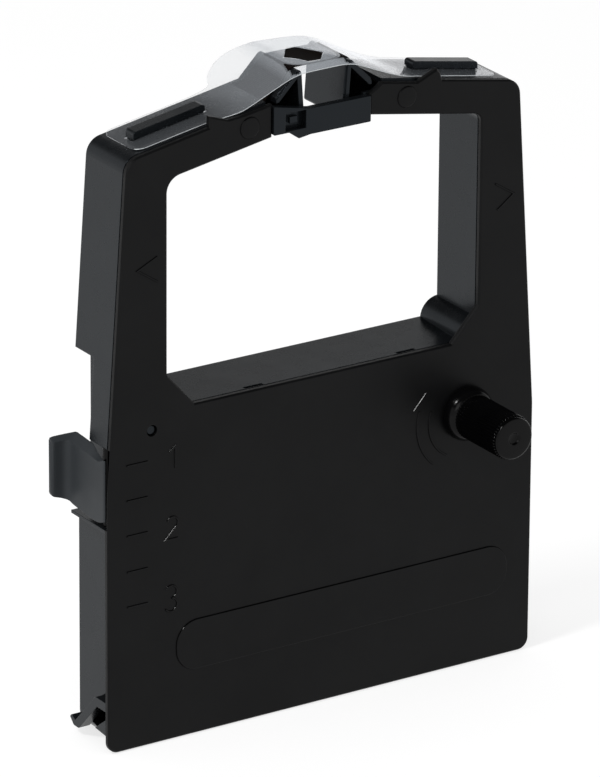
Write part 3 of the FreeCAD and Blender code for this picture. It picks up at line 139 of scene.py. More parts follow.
def make_world():
    """White surroundings: a softer fill light, and a ceiling that mirrors dark."""
    world = bpy.data.worlds.new("studio")
    bpy.context.scene.world = world
    world.use_nodes = True
    tree = world.node_tree
    tree.nodes.clear()
    seen = tree.nodes.new("ShaderNodeBackground")
    seen.inputs["Color"].default_value = WHITE
    seen.inputs["Strength"].default_value = 1.0
    fill = tree.nodes.new("ShaderNodeBackground")
    fill.inputs["Color"].default_value = WHITE
    fill.inputs["Strength"].default_value = WORLD_FILL
    room = tree.nodes.new("ShaderNodeBackground")
    room.inputs["Strength"].default_value = 1.0
    place = tree.nodes.new("ShaderNodeTexCoord")
    split = tree.nodes.new("ShaderNodeSeparateXYZ")
    tree.links.new(place.outputs["Generated"], split.inputs[0])
    height = span(tree, split.outputs["Z"], 0.0, 1.0, -1.0, 1.0)
    ramp = tree.nodes.new("ShaderNodeValToRGB")
    while len(ramp.color_ramp.elements) < len(ROOM):
        ramp.color_ramp.elements.new(0.5)
    for stop, (z, shade) in zip(ramp.color_ramp.elements, ROOM):
        stop.position = (z + 1) / 2
        stop.color = (shade, shade, shade, 1)
    tree.links.new(height, ramp.inputs["Fac"])
    tree.links.new(ramp.outputs["Color"], room.inputs["Color"])
    path = tree.nodes.new("ShaderNodeLightPath")
    mirrored = tree.nodes.new("ShaderNodeMixShader")
    mix = tree.nodes.new("ShaderNodeMixShader")
    out = tree.nodes.new("ShaderNodeOutputWorld")
    tree.links.new(path.outputs["Is Glossy Ray"], mirrored.inputs[0])
    tree.links.new(seen.outputs[0], mirrored.inputs[1])
    tree.links.new(room.outputs[0], mirrored.inputs[2])
    tree.links.new(shown_ray(tree), mix.inputs[0])
    tree.links.new(fill.outputs[0], mix.inputs[1])
    tree.links.new(mirrored.outputs[0], mix.inputs[2])
    tree.links.new(mix.outputs[0], out.inputs[0])


def make_floor():
    """Pale floor under the base that keeps a light shadow."""
    mesh = bpy.data.meshes.new("floor")
    z = cad_box[0].z - FLOOR_GAP
    corners = [(-1, -1), (1, -1), (1, 1), (-1, 1)]
    mesh.from_pydata([(x * FLOOR_HALF, y * FLOOR_HALF, z) for x, y in corners], [], [(0, 1, 2, 3)])
    floor = bpy.data.objects.new("floor", mesh)
    bpy.context.scene.collection.objects.link(floor)
    material = bpy.data.materials.new("floor")
    material.use_nodes = True
    tree = material.node_tree
    tree.nodes.clear()
    diffuse = tree.nodes.new("ShaderNodeBsdfDiffuse")
    diffuse.inputs["Color"].default_value = FLOOR_SHADE
    glow = tree.nodes.new("ShaderNodeEmission")
    glow.inputs["Color"].default_value = WHITE
    strength = tree.nodes.new("ShaderNodeMath")
    strength.operation = "MULTIPLY"
    strength.inputs[1].default_value = FLOOR_GLOW
    add = tree.nodes.new("ShaderNodeAddShader")
    out = tree.nodes.new("ShaderNodeOutputMaterial")
    tree.links.new(shown_ray(tree), strength.inputs[0])
    tree.links.new(strength.outputs[0], glow.inputs["Strength"])
    tree.links.new(diffuse.outputs[0], add.inputs[0])
    tree.links.new(glow.outputs[0], add.inputs[1])
    tree.links.new(add.outputs[0], out.inputs[0])
    mesh.materials.append(material)


def make_lights():
    """Key light high on the left and a weak soft light from the front, both square softboxes."""
    for name, place, size, watts in LAMPS:
        data = bpy.data.lights.new(name, "AREA")
        data.shape = "SQUARE"
        data.size = size
        data.energy = watts
        lamp = bpy.data.objects.new(name, data)
        lamp.location = place
        lamp.rotation_euler = (Vector(LAMP_AIM) - Vector(place)).to_track_quat("-Z", "Y").to_euler()
        bpy.context.scene.collection.objects.link(lamp)


# Materials
# how far the roughness of a plastic wanders to each side of its mean
PLASTIC_SPREAD = 0.04
# where a noise pattern starts and ends its run between two shades
TONE_ENDS = (0.35, 0.65)
BLOTCH_SCALE = 55.0
STREAK_SCALE = 260.0
WOVEN_SPREAD = 0.08
BEVEL_SAMPLES = 6
# the scale of the weave's wave texture is 1 over this many thread pitches
WEAVE_PITCHES = 6.3
# |x| in metres where the film's haze starts and ends its fade, over the nose and at its crest
HAZE_FADE = (0.02, 0.03)
CREST_FADE = (0.007, 0.012)
CREST_HAZE = 0.16
PALER = 1.08
GLANCE_POWER = 5.0
GLANCE_LEAST = 0.04
GLANCE_TINT = (0.97, 0.98, 1.0, 1)
# how far the roughness falls and rises from its given value
FILM_SPREAD = (0.03, 0.05)
EDGE_SPREAD = (0.06, 0.1)


def shader_tree(name):
    """New material with one shader joined to its output."""
    material = bpy.data.materials.new(name)
    material.use_nodes = True
    tree = material.node_tree
    tree.nodes.clear()
    out = tree.nodes.new("ShaderNodeOutputMaterial")
    shader = tree.nodes.new("ShaderNodeBsdfPrincipled")
    tree.links.new(shader.outputs[0], out.inputs[0])
    return material, tree, shader


def noise(tree, scale, detail, rough=0.5, stretch=None):
    """Noise texture over the object's own coordinates."""
    place = tree.nodes.new("ShaderNodeTexCoord")
    texture = tree.nodes.new("ShaderNodeTexNoise")
    texture.inputs["Scale"].default_value = scale
    texture.inputs["Detail"].default_value = detail
    texture.inputs["Roughness"].default_value = rough
    source = place.outputs["Object"]
    if stretch:
        mapping = tree.nodes.new("ShaderNodeMapping")
        mapping.inputs["Scale"].default_value = stretch
        tree.links.new(source, mapping.inputs["Vector"])
        source = mapping.outputs["Vector"]
    tree.links.new(source, texture.inputs["Vector"])
    return texture.outputs["Fac"]


def span(tree, source, low, high, start=0.3, end=0.7):
    """Map a value between start and end onto the range from low to high."""
    ranged = tree.nodes.new("ShaderNodeMapRange")
    ranged.inputs["From Min"].default_value = start
    ranged.inputs["From Max"].default_value = end
    ranged.inputs["To Min"].default_value = low
    ranged.inputs["To Max"].default_value = high
    tree.links.new(source, ranged.inputs["Value"])
    return ranged.outputs["Result"]


def two_tone(tree, source, first, second):
    """Colour that runs between two shades."""
    ramp = tree.nodes.new("ShaderNodeValToRGB")
    ramp.color_ramp.elements[0].position = TONE_ENDS[0]
    ramp.color_ramp.elements[1].position = TONE_ENDS[1]
    ramp.color_ramp.elements[0].color = (*first, 1)
    ramp.color_ramp.elements[1].color = (*second, 1)
    tree.links.new(source, ramp.inputs["Fac"])
    return ramp.outputs["Color"]


def bump(tree, height, distance, below=None):
    """Bump, over another normal where one is given."""
    node = tree.nodes.new("ShaderNodeBump")
    node.inputs["Strength"].default_value = 1.0
    node.inputs["Distance"].default_value = distance
    tree.links.new(height, node.inputs["Height"])
    if below is not None:
        tree.links.new(below, node.inputs["Normal"])
    return node.outputs["Normal"]


def soft_edges(tree, radius):
    """Normal that rounds sharp edges."""
    node = tree.nodes.new("ShaderNodeBevel")
    node.samples = BEVEL_SAMPLES
    node.inputs["Radius"].default_value = radius
    return node.outputs["Normal"]


def plastic(name, dark, light, rough, specular, grain, wave, edge, mirror=(1.0, 1.0, 1.0)):
    """Moulded plastic: fine grain, slight waviness and soft edges."""
    material, tree, shader = shader_tree(name)
    shader.inputs["Specular IOR Level"].default_value = specular
    shader.inputs["Specular Tint"].default_value = (*mirror, 1)
    blotch = noise(tree, BLOTCH_SCALE, 4.0)
    tree.links.new(two_tone(tree, blotch, dark, light), shader.inputs["Base Color"])
    streak = noise(tree, STREAK_SCALE, 5.0, 0.6)
    uneven = span(tree, streak, rough - PLASTIC_SPREAD, rough + PLASTIC_SPREAD)
    tree.links.new(uneven, shader.inputs["Roughness"])
    normal = soft_edges(tree, edge)
    if wave:
        normal = bump(tree, noise(tree, wave[0], 2.0), wave[1], normal)
    normal = bump(tree, noise(tree, grain[0], 4.0, 0.6), grain[1], normal)
    tree.links.new(normal, shader.inputs["Normal"])
    return material


def brushed_metal(name):
    """Bright drawn wire and strip."""
    material, tree, shader = shader_tree(name)
    shader.inputs["Metallic"].default_value = 1.0
    drawn = noise(tree, 900.0, 4.0, 0.6, (1.0, 1.0, 0.08))
    tree.links.new(two_tone(tree, drawn, (0.42, 0.42, 0.43), (0.62, 0.62, 0.61)), shader.inputs["Base Color"])
    tree.links.new(span(tree, drawn, 0.22, 0.36), shader.inputs["Roughness"])
    tree.links.new(bump(tree, drawn, 0.01 * MM), shader.inputs["Normal"])
    return material


def woven(name, dark, light, pitch, depth, rough, specular):
    """Woven band: threads both ways under a coat of ink."""
    material, tree, shader = shader_tree(name)
    shader.inputs["Specular IOR Level"].default_value = specular
    place = tree.nodes.new("ShaderNodeTexCoord")
    heights = []
    for direction in ("X", "Y"):
        threads = tree.nodes.new("ShaderNodeTexWave")
        threads.wave_type = "BANDS"
        threads.bands_direction = direction
        threads.inputs["Scale"].default_value = 1 / (pitch * WEAVE_PITCHES)
        threads.inputs["Distortion"].default_value = 0.4
        tree.links.new(place.outputs["Object"], threads.inputs["Vector"])
        heights.append(threads.outputs["Fac"])
    weave = tree.nodes.new("ShaderNodeMath")
    weave.operation = "ADD"
    tree.links.new(heights[0], weave.inputs[0])
    tree.links.new(heights[1], weave.inputs[1])
    ink = noise(tree, 180.0, 4.0)
    tree.links.new(two_tone(tree, ink, dark, light), shader.inputs["Base Color"])
    tree.links.new(span(tree, ink, rough - WOVEN_SPREAD, rough + WOVEN_SPREAD), shader.inputs["Roughness"])
    crease = bump(tree, noise(tree, 120.0, 2.0), 0.25 * MM)
    tree.links.new(bump(tree, weave.outputs[0], depth, crease), shader.inputs["Normal"])
    return material


def felt(name):
    """Pressed felt with matted fibres."""
    material, tree, shader = shader_tree(name)
    shader.inputs["Roughness"].default_value = 0.95
    shader.inputs["Sheen Weight"].default_value = 0.4
    fibres = noise(tree, 2400.0, 6.0, 0.7, (1.0, 1.0, 0.35))
    tree.links.new(two_tone(tree, fibres, (0.22, 0.2, 0.18), (0.42, 0.4, 0.36)), shader.inputs["Base Color"])
    tree.links.new(bump(tree, fibres, 0.12 * MM), shader.inputs["Normal"])
    return material


def milky(tree, shader, tint):
    """Colour the film with a faint cloudiness, and return its pattern."""
    haze = noise(tree, 60.0, 3.0)
    paler = tuple(min(1.0, c * PALER) for c in tint)
    tree.links.new(two_tone(tree, haze, tint, paler), shader.inputs["Base Color"])
    return haze


def film_material(name, thin, thick, tint, rough):
    """Thin film: a milky haze, stronger over the nose, under a surface that mirrors at a glancing view."""
    material, tree, shader = shader_tree(name)
    shader.inputs["Specular IOR Level"].default_value = 0.1
    milky(tree, shader, tint)
    place = tree.nodes.new("ShaderNodeTexCoord")
    split = tree.nodes.new("ShaderNodeSeparateXYZ")
    tree.links.new(place.outputs["Object"], split.inputs[0])
    away = tree.nodes.new("ShaderNodeMath")
    away.operation = "ABSOLUTE"
    tree.links.new(split.outputs["X"], away.inputs[0])
    total = tree.nodes.new("ShaderNodeMath")
    total.operation = "ADD"
    tree.links.new(span(tree, away.outputs[0], thick, thin, *HAZE_FADE), total.inputs[0])
    tree.links.new(span(tree, away.outputs[0], CREST_HAZE, 0.0, *CREST_FADE), total.inputs[1])
    tree.links.new(total.outputs[0], shader.inputs["Alpha"])
    scratch = noise(tree, 300.0, 5.0, 0.7, (0.2, 1.0, 1.0))
    uneven = bump(tree, noise(tree, 70.0, 1.0), 0.12 * MM)
    tree.links.new(uneven, shader.inputs["Normal"])
    facing = tree.nodes.new("ShaderNodeLayerWeight")
    facing.inputs["Blend"].default_value = 0.5
    steep = tree.nodes.new("ShaderNodeMath")
    steep.operation = "POWER"
    steep.inputs[1].default_value = GLANCE_POWER
    tree.links.new(facing.outputs["Facing"], steep.inputs[0])
    share = span(tree, steep.outputs[0], GLANCE_LEAST, 1.0, 0.0, 1.0)
    mirror = tree.nodes.new("ShaderNodeBsdfGlossy")
    mirror.inputs["Color"].default_value = GLANCE_TINT
    scratched = span(tree, scratch, rough - FILM_SPREAD[0], rough + FILM_SPREAD[1])
    tree.links.new(scratched, mirror.inputs["Roughness"])
    tree.links.new(uneven, mirror.inputs["Normal"])
    mix = tree.nodes.new("ShaderNodeMixShader")
    tree.links.new(share, mix.inputs[0])
    tree.links.new(shader.outputs[0], mix.inputs[1])
    tree.links.new(mirror.outputs[0], mix.inputs[2])
    out = next(node for node in tree.nodes if node.type == "OUTPUT_MATERIAL")
    tree.links.new(mix.outputs[0], out.inputs[0])
    return material


def edge_highlight_material(name, clear, tint, rough):
    """Cut edge of the film, whiter and less clear than the film: a painted highlight along its front edges.
    """
    material, tree, shader = shader_tree(name)
    shader.inputs["Alpha"].default_value = clear
    shader.inputs["Specular IOR Level"].default_value = 0.5
    haze = milky(tree, shader, tint)
    cloudy = span(tree, haze, rough - EDGE_SPREAD[0], rough + EDGE_SPREAD[1])
    tree.links.new(cloudy, shader.inputs["Roughness"])
    return material


def make_materials():
    """One material for each slot of the record, and one that paints a highlight on the front cut edges of the
    film.
    """
    made = {}
    made["housing_plastic"] = plastic(
        "housing_plastic", (0.0036, 0.0042, 0.005), (0.0056, 0.0064, 0.0074),
        rough=0.26, specular=0.225, grain=(5200.0, 0.004 * MM), wave=(70.0, 0.05 * MM), edge=0.22 * MM,
        mirror=(0.76, 0.88, 1.0),
    )
    made["cover_plastic"] = plastic(
        "cover_plastic", (0.003, 0.0031, 0.0034), (0.0046, 0.0047, 0.005),
        rough=0.42, specular=0.12, grain=(4200.0, 0.012 * MM), wave=(40.0, 0.03 * MM), edge=0.2 * MM,
    )
    made["knob_plastic"] = plastic(
        "knob_plastic", (0.0008, 0.0008, 0.0009), (0.0018, 0.0018, 0.002),
        rough=0.15, specular=0.12, grain=(3600.0, 0.006 * MM), wave=None, edge=0.12 * MM,
    )
    made["latch_plastic"] = plastic(
        "latch_plastic", (0.031, 0.035, 0.039), (0.039, 0.043, 0.047),
        rough=0.42, specular=0.2, grain=(5200.0, 0.004 * MM), wave=(80.0, 0.04 * MM), edge=0.3 * MM,
    )
    made["wheel_plastic"] = plastic(
        "wheel_plastic", (0.66, 0.64, 0.59), (0.76, 0.75, 0.7),
        rough=0.4, specular=0.45, grain=(2600.0, 0.01 * MM), wave=None, edge=0.1 * MM,
    )
    made["arm_plastic"] = plastic(
        "arm_plastic", (0.01, 0.01, 0.011), (0.018, 0.018, 0.019),
        rough=0.45, specular=0.35, grain=(3000.0, 0.01 * MM), wave=None, edge=0.12 * MM,
    )
    made["spring_steel"] = brushed_metal("spring_steel")
    made["ribbon_fabric"] = woven(
        "ribbon_fabric", (0.003, 0.002, 0.0018), (0.0075, 0.005, 0.004),
        pitch=0.16 * MM, depth=0.03 * MM, rough=0.6, specular=0.012,
    )
    made["felt"] = felt("felt")
    made["clear_film"] = film_material(
        "clear_film", thin=0.035, thick=0.105, tint=(0.62, 0.66, 0.71), rough=0.08,
    )
    # the film's front cut edges are whiter and less clear: a painted highlight line along them
    made["film_edge_highlight"] = edge_highlight_material("film_edge_highlight", clear=0.85, tint=(0.86, 0.9, 0.93), rough=0.3)
    return made


def dress_nodes():
    """Give every solid the material of its slot."""
    for part in frame["record"]["subparts"]:
        node = nodes[part["node"]]
        for material_slot in node.material_slots:
            material_slot.material = materials[part["material_slot"]]


# Making pieces
def closed_mesh(name, points, faces):
    """New object from points and faces, with its faces looking outwards."""
    mesh = bpy.data.meshes.new(name)
    mesh.from_pydata([tuple(p) for p in points], [], faces)
    mesh.validate()
    piece = bpy.data.objects.new(name, mesh)
    bpy.context.scene.collection.objects.link(piece)
    work = bmesh.new()
    work.from_mesh(mesh)
    bmesh.ops.recalc_face_normals(work, faces=work.faces)
    work.to_mesh(mesh)
    work.free()
    return piece


def ring_faces(faces, a, b, count):
    """Add the faces between two rings of points, which start at a and b."""
    for i in range(count):
        j = (i + 1) % count
        faces.append((a + i, a + j, b + j, b + i))


def add_mesh(name, points, faces, slot_name, smooth=True):
    """New piece in one material."""
    piece = closed_mesh(name, points, faces)
    piece.data.materials.append(materials[slot_name])
    for polygon in piece.data.polygons:
        polygon.use_smooth = smooth
    return piece


def prism(name, outline, low, high):
    """Upright prism over an outline of x and depth, for cutting."""
    count = len(outline)
    points = [at(x, depth, low) for x, depth in outline] + [at(x, depth, high) for x, depth in outline]
    faces = [tuple(range(count - 1, -1, -1)), tuple(range(count, 2 * count))]
    ring_faces(faces, 0, count, count)
    return closed_mesh(name, points, faces)


def cut(piece, cutter, operation):
    """Apply one boolean and remove the cutter."""
    modifier = piece.modifiers.new("cut", "BOOLEAN")
    modifier.operation = operation
    modifier.solver = "EXACT"
    modifier.object = cutter
    graph = bpy.context.evaluated_depsgraph_get()
    result = bpy.data.meshes.new_from_object(piece.evaluated_get(graph))
    old = piece.data
    piece.modifiers.clear()
    piece.data = result
    bpy.data.meshes.remove(old)
    cutter_mesh = cutter.data
    bpy.data.objects.remove(cutter)
    bpy.data.meshes.remove(cutter_mesh)


# Film shield
ROOF_SHOULDER_Z = 155.75
ROOF_SHOULDER_X = 57.7
ROOF_SLOPE = 0.181
FILM_LIFT = 0.35
FILM_THICK = 0.2
FILM_LEFT_X = -53.7
FILM_RIGHT_X = 52.7
FILM_CREST_Z = 170.34
FILM_CREST_X = 7.6
FILM_LIFT_X = 24.0
FILM_BLEND = 5.0
FILM_DROOP = 1.9
FILM_STEP = 0.6
FILM_DEPTH = 24.0
FILM_START = 2.4
FILM_END = 18.6
FILM_CORNER = 3.0
FILM_MARGIN = 1.0
FILM_FRONT = 0.5
CUT_REACH = 10
CORNER_STEPS = 6
BLEND_STEPS = 4
DROOP_WIDTH = 19.0
DROOP_DEPTH = 9.0
# height of the ripple, how fast it runs along x and depth, and how wide it is
RIPPLE = (0.12, 0.31, 0.22, 30.0)
FILM_MIDDLE_FRONT = ((-33.0, 2.4), (-27.5, 1.5), (-24.0, 1.0), (19.0, 1.0), (22.5, 1.5), (28.0, 2.4))
FILM_MIDDLE_BACK = (
    (28.0, 18.6), (22.0, 21.2), (18.0, 21.9), (12.0, 21.5), (6.0, 21.8), (1.0, 23.0), (-4.0, 23.5),
    (-16.5, 23.5), (-18.6, 23.3), (-20.1, 22.7), (-21.2, 21.8), (-21.9, 20.7), (-22.4, 19.6),
    (-22.9, 18.8), (-23.8, 18.6),
)
# free flap at the back of the film: depth where it starts, length, lift, middle, width and bend
FLAP_START = 15.0
FLAP_LENGTH = 8.5
FLAP_LIFT = 2.1
FLAP_X = -16.0
FLAP_WIDTH = 7.0
FLAP_BEND = 1.5
FILM_HOLE = ((-2.2, 15.6), (0.5, 15.0), (4.0, 8.1), (1.0, 4.6), (-2.6, 4.8), (-6.3, 10.0))
# x between which, and depth behind which, an edge belongs to the hole
HOLE_X = (-7.0, 5.0)
HOLE_START = 2.5
# a face stands upright where its normal's z is smaller than this, either way
UPRIGHT = 0.5
# a face looks to the front where its normal's y is below this
FRONT_FACING = -0.4
SLOT_X = (30.1, 51.4)
SLOT_DEPTH = (8.4, 11.2)


def roof(x):
    """Height of the roof, in millimetres."""
    return ROOF_SHOULDER_Z + ROOF_SLOPE * (ROOF_SHOULDER_X - abs(x))


def film_height(x, depth):
    """Underside of the film: along the roof, up over the horns, drooping at the front middle."""
    lift = roof(FILM_LIFT_X) + FILM_LIFT
    total = 0.0
    weight_sum = 0.0
    for k in range(-BLEND_STEPS, BLEND_STEPS + 1):
        shift = k * FILM_BLEND / BLEND_STEPS
        weight = 1.0 - abs(k) / (BLEND_STEPS + 1)
        px = abs(x + shift)
        if px >= FILM_LIFT_X:
            z = roof(px) + FILM_LIFT
        elif px <= FILM_CREST_X:
            z = FILM_CREST_Z
        else:
            share = (FILM_LIFT_X - px) / (FILM_LIFT_X - FILM_CREST_X)
            z = lift + (FILM_CREST_Z - lift) * share
        total += z * weight
        weight_sum += weight
    z = min(total / weight_sum, FILM_CREST_Z)
    middle = math.exp(-((x / DROOP_WIDTH) ** 2))
    front = max(0.0, 1.0 - depth / DROOP_DEPTH) ** 2
    height, along_x, along_depth, width = RIPPLE
    ripple = height * math.sin(x * along_x + depth * along_depth) * math.exp(-((x / width) ** 2))
    flap = max(0.0, (depth - FLAP_START) / FLAP_LENGTH) ** FLAP_BEND
    lifted = FLAP_LIFT * flap * math.exp(-(((x - FLAP_X) / FLAP_WIDTH) ** 2))
    return z - FILM_DROOP * middle * front + min(0.0, ripple) + lifted


def film_outline():
    """Outline of the film in x and depth, with rounded ends."""
    def corner(x, depth, start):
        angles = [math.radians(start + 90 * i / CORNER_STEPS) for i in range(CORNER_STEPS + 1)]
        return [(x + FILM_CORNER * math.cos(a), depth + FILM_CORNER * math.sin(a)) for a in angles]

    front, end = FILM_START + FILM_CORNER, FILM_END - FILM_CORNER
    left, right = FILM_LEFT_X + FILM_CORNER, FILM_RIGHT_X - FILM_CORNER
    outline = corner(left, front, 180) + list(FILM_MIDDLE_FRONT) + corner(right, front, 270)
    return outline + corner(right, end, 0) + list(FILM_MIDDLE_BACK) + corner(left, end, 90)


def make_film():
    """Clear film over the nose, cut out around the rails and over the ribbon."""
    columns = int((FILM_RIGHT_X - FILM_LEFT_X) / FILM_STEP) + 1
    rows = int(FILM_DEPTH / FILM_STEP) + 1
    points = []
    for layer in (0.0, FILM_THICK):
        for i in range(columns + 1):
            x = FILM_LEFT_X - FILM_MARGIN + i * (FILM_RIGHT_X - FILM_LEFT_X + 2 * FILM_MARGIN) / columns
            for j in range(rows + 1):
                depth = j * (FILM_DEPTH + FILM_FRONT) / rows - FILM_FRONT
                points.append(at(x, depth, film_height(x, depth) + layer))
    stride = rows + 1
    layer_size = (columns + 1) * stride
    faces = []
    for i in range(columns):
        for j in range(rows):
            a = i * stride + j
            faces.append((a, a + 1, a + stride + 1, a + stride))
            b = a + layer_size
            faces.append((b, b + stride, b + stride + 1, b + 1))
    rim = [(i, 0) for i in range(columns)] + [(columns, j) for j in range(rows)]
    rim += [(i, rows) for i in range(columns, 0, -1)] + [(0, j) for j in range(rows, 0, -1)]
    for k, (i, j) in enumerate(rim):
        n, m = rim[(k + 1) % len(rim)]
        a, b = i * stride + j, n * stride + m
        faces.append((a, b, b + layer_size, a + layer_size))
    film = add_mesh("film", points, faces, "clear_film")
    low, high = ROOF_SHOULDER_Z - CUT_REACH, FILM_CREST_Z + CUT_REACH
    cut(film, prism("cutter", film_outline(), low, high), "INTERSECT")
    cut(film, prism("cutter", FILM_HOLE, low, high), "DIFFERENCE")
    for sign in (-1, 1):
        x0, x1 = sorted((sign * SLOT_X[0], sign * SLOT_X[1]))
        outline = [(x0, SLOT_DEPTH[0]), (x1, SLOT_DEPTH[0]), (x1, SLOT_DEPTH[1]), (x0, SLOT_DEPTH[1])]
        cut(film, prism("cutter", outline, low, high), "DIFFERENCE")
    film.data.materials.clear()
    film.data.materials.append(materials["clear_film"])
    film.data.materials.append(materials["film_edge_highlight"])
    hole_y = at(0, HOLE_START, 0).y
    # front-facing cut edges outside the hole take the painted edge highlight; all other faces stay clear film
    for polygon in film.data.polygons:
        upright = abs(polygon.normal.z) < UPRIGHT
        in_hole = HOLE_X[0] < polygon.center.x / MM < HOLE_X[1] and polygon.center.y > hole_y
        polygon.material_index = 1 if polygon.normal.y < FRONT_FACING and not in_hole else 0
        polygon.use_smooth = not upright
    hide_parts("film_shield")
    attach(film, "shell")


# Signs on the cover
STROKE_WIDTH = 0.6
STROKE_HEIGHT = 0.24
STROKE_BEVEL = 0.14
STROKE_SINK = 0.02
MITRE_LEAST = 0.4
# a face of a raised form is a flank where its normal's y is above this
FLANK = -0.9
TICK_HEIGHTS = (76.5, 67.1, 57.7, 48.1, 38.7)
TICK_X = (-58.0, -52.0)
ONE = ((-45.6, 77.6), (-44.0, 78.9), (-44.0, 73.1))
LEFT_TRIANGLE = ((-49.2, 129.7), (-54.9, 127.0), (-49.0, 123.1))
RIGHT_TRIANGLE = ((50.6, 129.5), (56.2, 126.0), (51.3, 122.4))
ARROW_CENTRE = (41.9, 68.4)
# radius, start and end of each arc of the turning arrow
ARROW_ARCS = ((10.4, 160, 242), (14.0, 162, 230))
ARROW_TICK = ((26.8, 73.1), (30.6, 77.3))


def stroke(points, faces, line):
    """Add one raised stroke along a line of x and z on the cover's front face."""
    count = len(line)
    profile = (
        (-STROKE_WIDTH / 2, STROKE_SINK),
        (-STROKE_WIDTH / 2 + STROKE_BEVEL, -STROKE_HEIGHT),
        (STROKE_WIDTH / 2 - STROKE_BEVEL, -STROKE_HEIGHT),
        (STROKE_WIDTH / 2, STROKE_SINK),
    )
    first = len(points)
    for i in range(count):
        before = Vector(line[i - 1] if i else line[i])
        here = Vector(line[i])
        after = Vector(line[i + 1] if i < count - 1 else line[i])
        along_in = (here - before).normalized() if (here - before).length else (after - here).normalized()
        along_out = (after - here).normalized() if (after - here).length else along_in
        along = (along_in + along_out).normalized()
        side = Vector((-along.y, along.x))
        mitre = 1 / max(MITRE_LEAST, along.dot(along_in))
        for offset, depth in profile:
            spot = here + side * offset * mitre
            points.append(at(spot.x, depth, spot.y))
    size = len(profile)
    for i in range(count - 1):
        a = first + i * size
        b = a + size
        for k in range(size - 1):
            faces.append((a + k, a + k + 1, b + k + 1, b + k))
        faces.append((a + size - 1, a, b, b + size - 1))
    last = first + (count - 1) * size
    faces.append(tuple(first + k for k in range(size)))
    faces.append(tuple(last + k for k in reversed(range(size))))


def arc(cx, cz, radius, start, end, steps=22):
    """Points of an arc, angles in degrees from +X towards +Z."""
    angles = [math.radians(start + (end - start) * i / steps) for i in range(steps + 1)]
    return [(cx + radius * math.cos(a), cz + radius * math.sin(a)) for a in angles]


def gloss_flanks(piece):
    """Polish the sides of a raised form, which the light catches."""
    piece.data.materials.append(materials["knob_plastic"])
    for polygon in piece.data.polygons:
        if polygon.normal.y > FLANK:
            polygon.material_index = 1


def make_signs():
    """Ticks with their numbers, two triangles and the turning arrow, raised on the cover."""
    points, faces = [], []
    for z in TICK_HEIGHTS:
        stroke(points, faces, [(TICK_X[0], z), (TICK_X[1], z)])
    stroke(points, faces, ONE)
    two = arc(-44.8, 58.6, 1.6, 160, -45, 10) + [(-46.8, 54.3), (-43.2, 54.3)]
    stroke(points, faces, two)
    three_top = arc(-45.2, 40.1, 1.7, 150, -80, 10)
    three_low = arc(-45.2, 36.6, 1.8, 80, -150, 12)
    stroke(points, faces, three_top + three_low)
    stroke(points, faces, LEFT_TRIANGLE)
    stroke(points, faces, RIGHT_TRIANGLE)
    for radius, start, end in ARROW_ARCS:
        stroke(points, faces, arc(*ARROW_CENTRE, radius, start, end))
    stroke(points, faces, ARROW_TICK)
    signs = add_mesh("cover_signs", points, faces, "cover_plastic", smooth=False)
    gloss_flanks(signs)
    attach(signs, "shell")


# Raised panel
PANEL_X = (-43.65, 56.15)
PANEL_Z = (17.65, 31.15)
PANEL_R = 6.15
# depth, and how far the outline is set in there
PANEL_LAYERS = ((0.3, 0.0), (-0.14, 0.0), (-0.24, 0.05), (-0.3, 0.16))


def make_panel():
    """Low raised panel with rounded ends, over its recess in the cover."""
    points, faces = [], []
    for depth, inset in PANEL_LAYERS:
        radius = PANEL_R - inset
        left, right = PANEL_X[0] + PANEL_R, PANEL_X[1] - PANEL_R
        low, high = PANEL_Z[0] + PANEL_R, PANEL_Z[1] - PANEL_R
        outline = arc(right, high, radius, 0, 90, 16) + arc(left, high, radius, 90, 180, 16)
        outline += arc(left, low, radius, 180, 270, 16) + arc(right, low, radius, 270, 360, 16)
        points += [at(x, depth, z) for x, z in outline]
    count = len(outline)
    for k in range(len(PANEL_LAYERS) - 1):
        ring_faces(faces, k * count, (k + 1) * count, count)
    faces.append(tuple(range(count)))
    faces.append(tuple(range(len(points) - 1, len(points) - count - 1, -1)))
    panel = add_mesh("raised_panel", points, faces, "cover_plastic", smooth=False)
    gloss_flanks(panel)
    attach(panel, "shell")


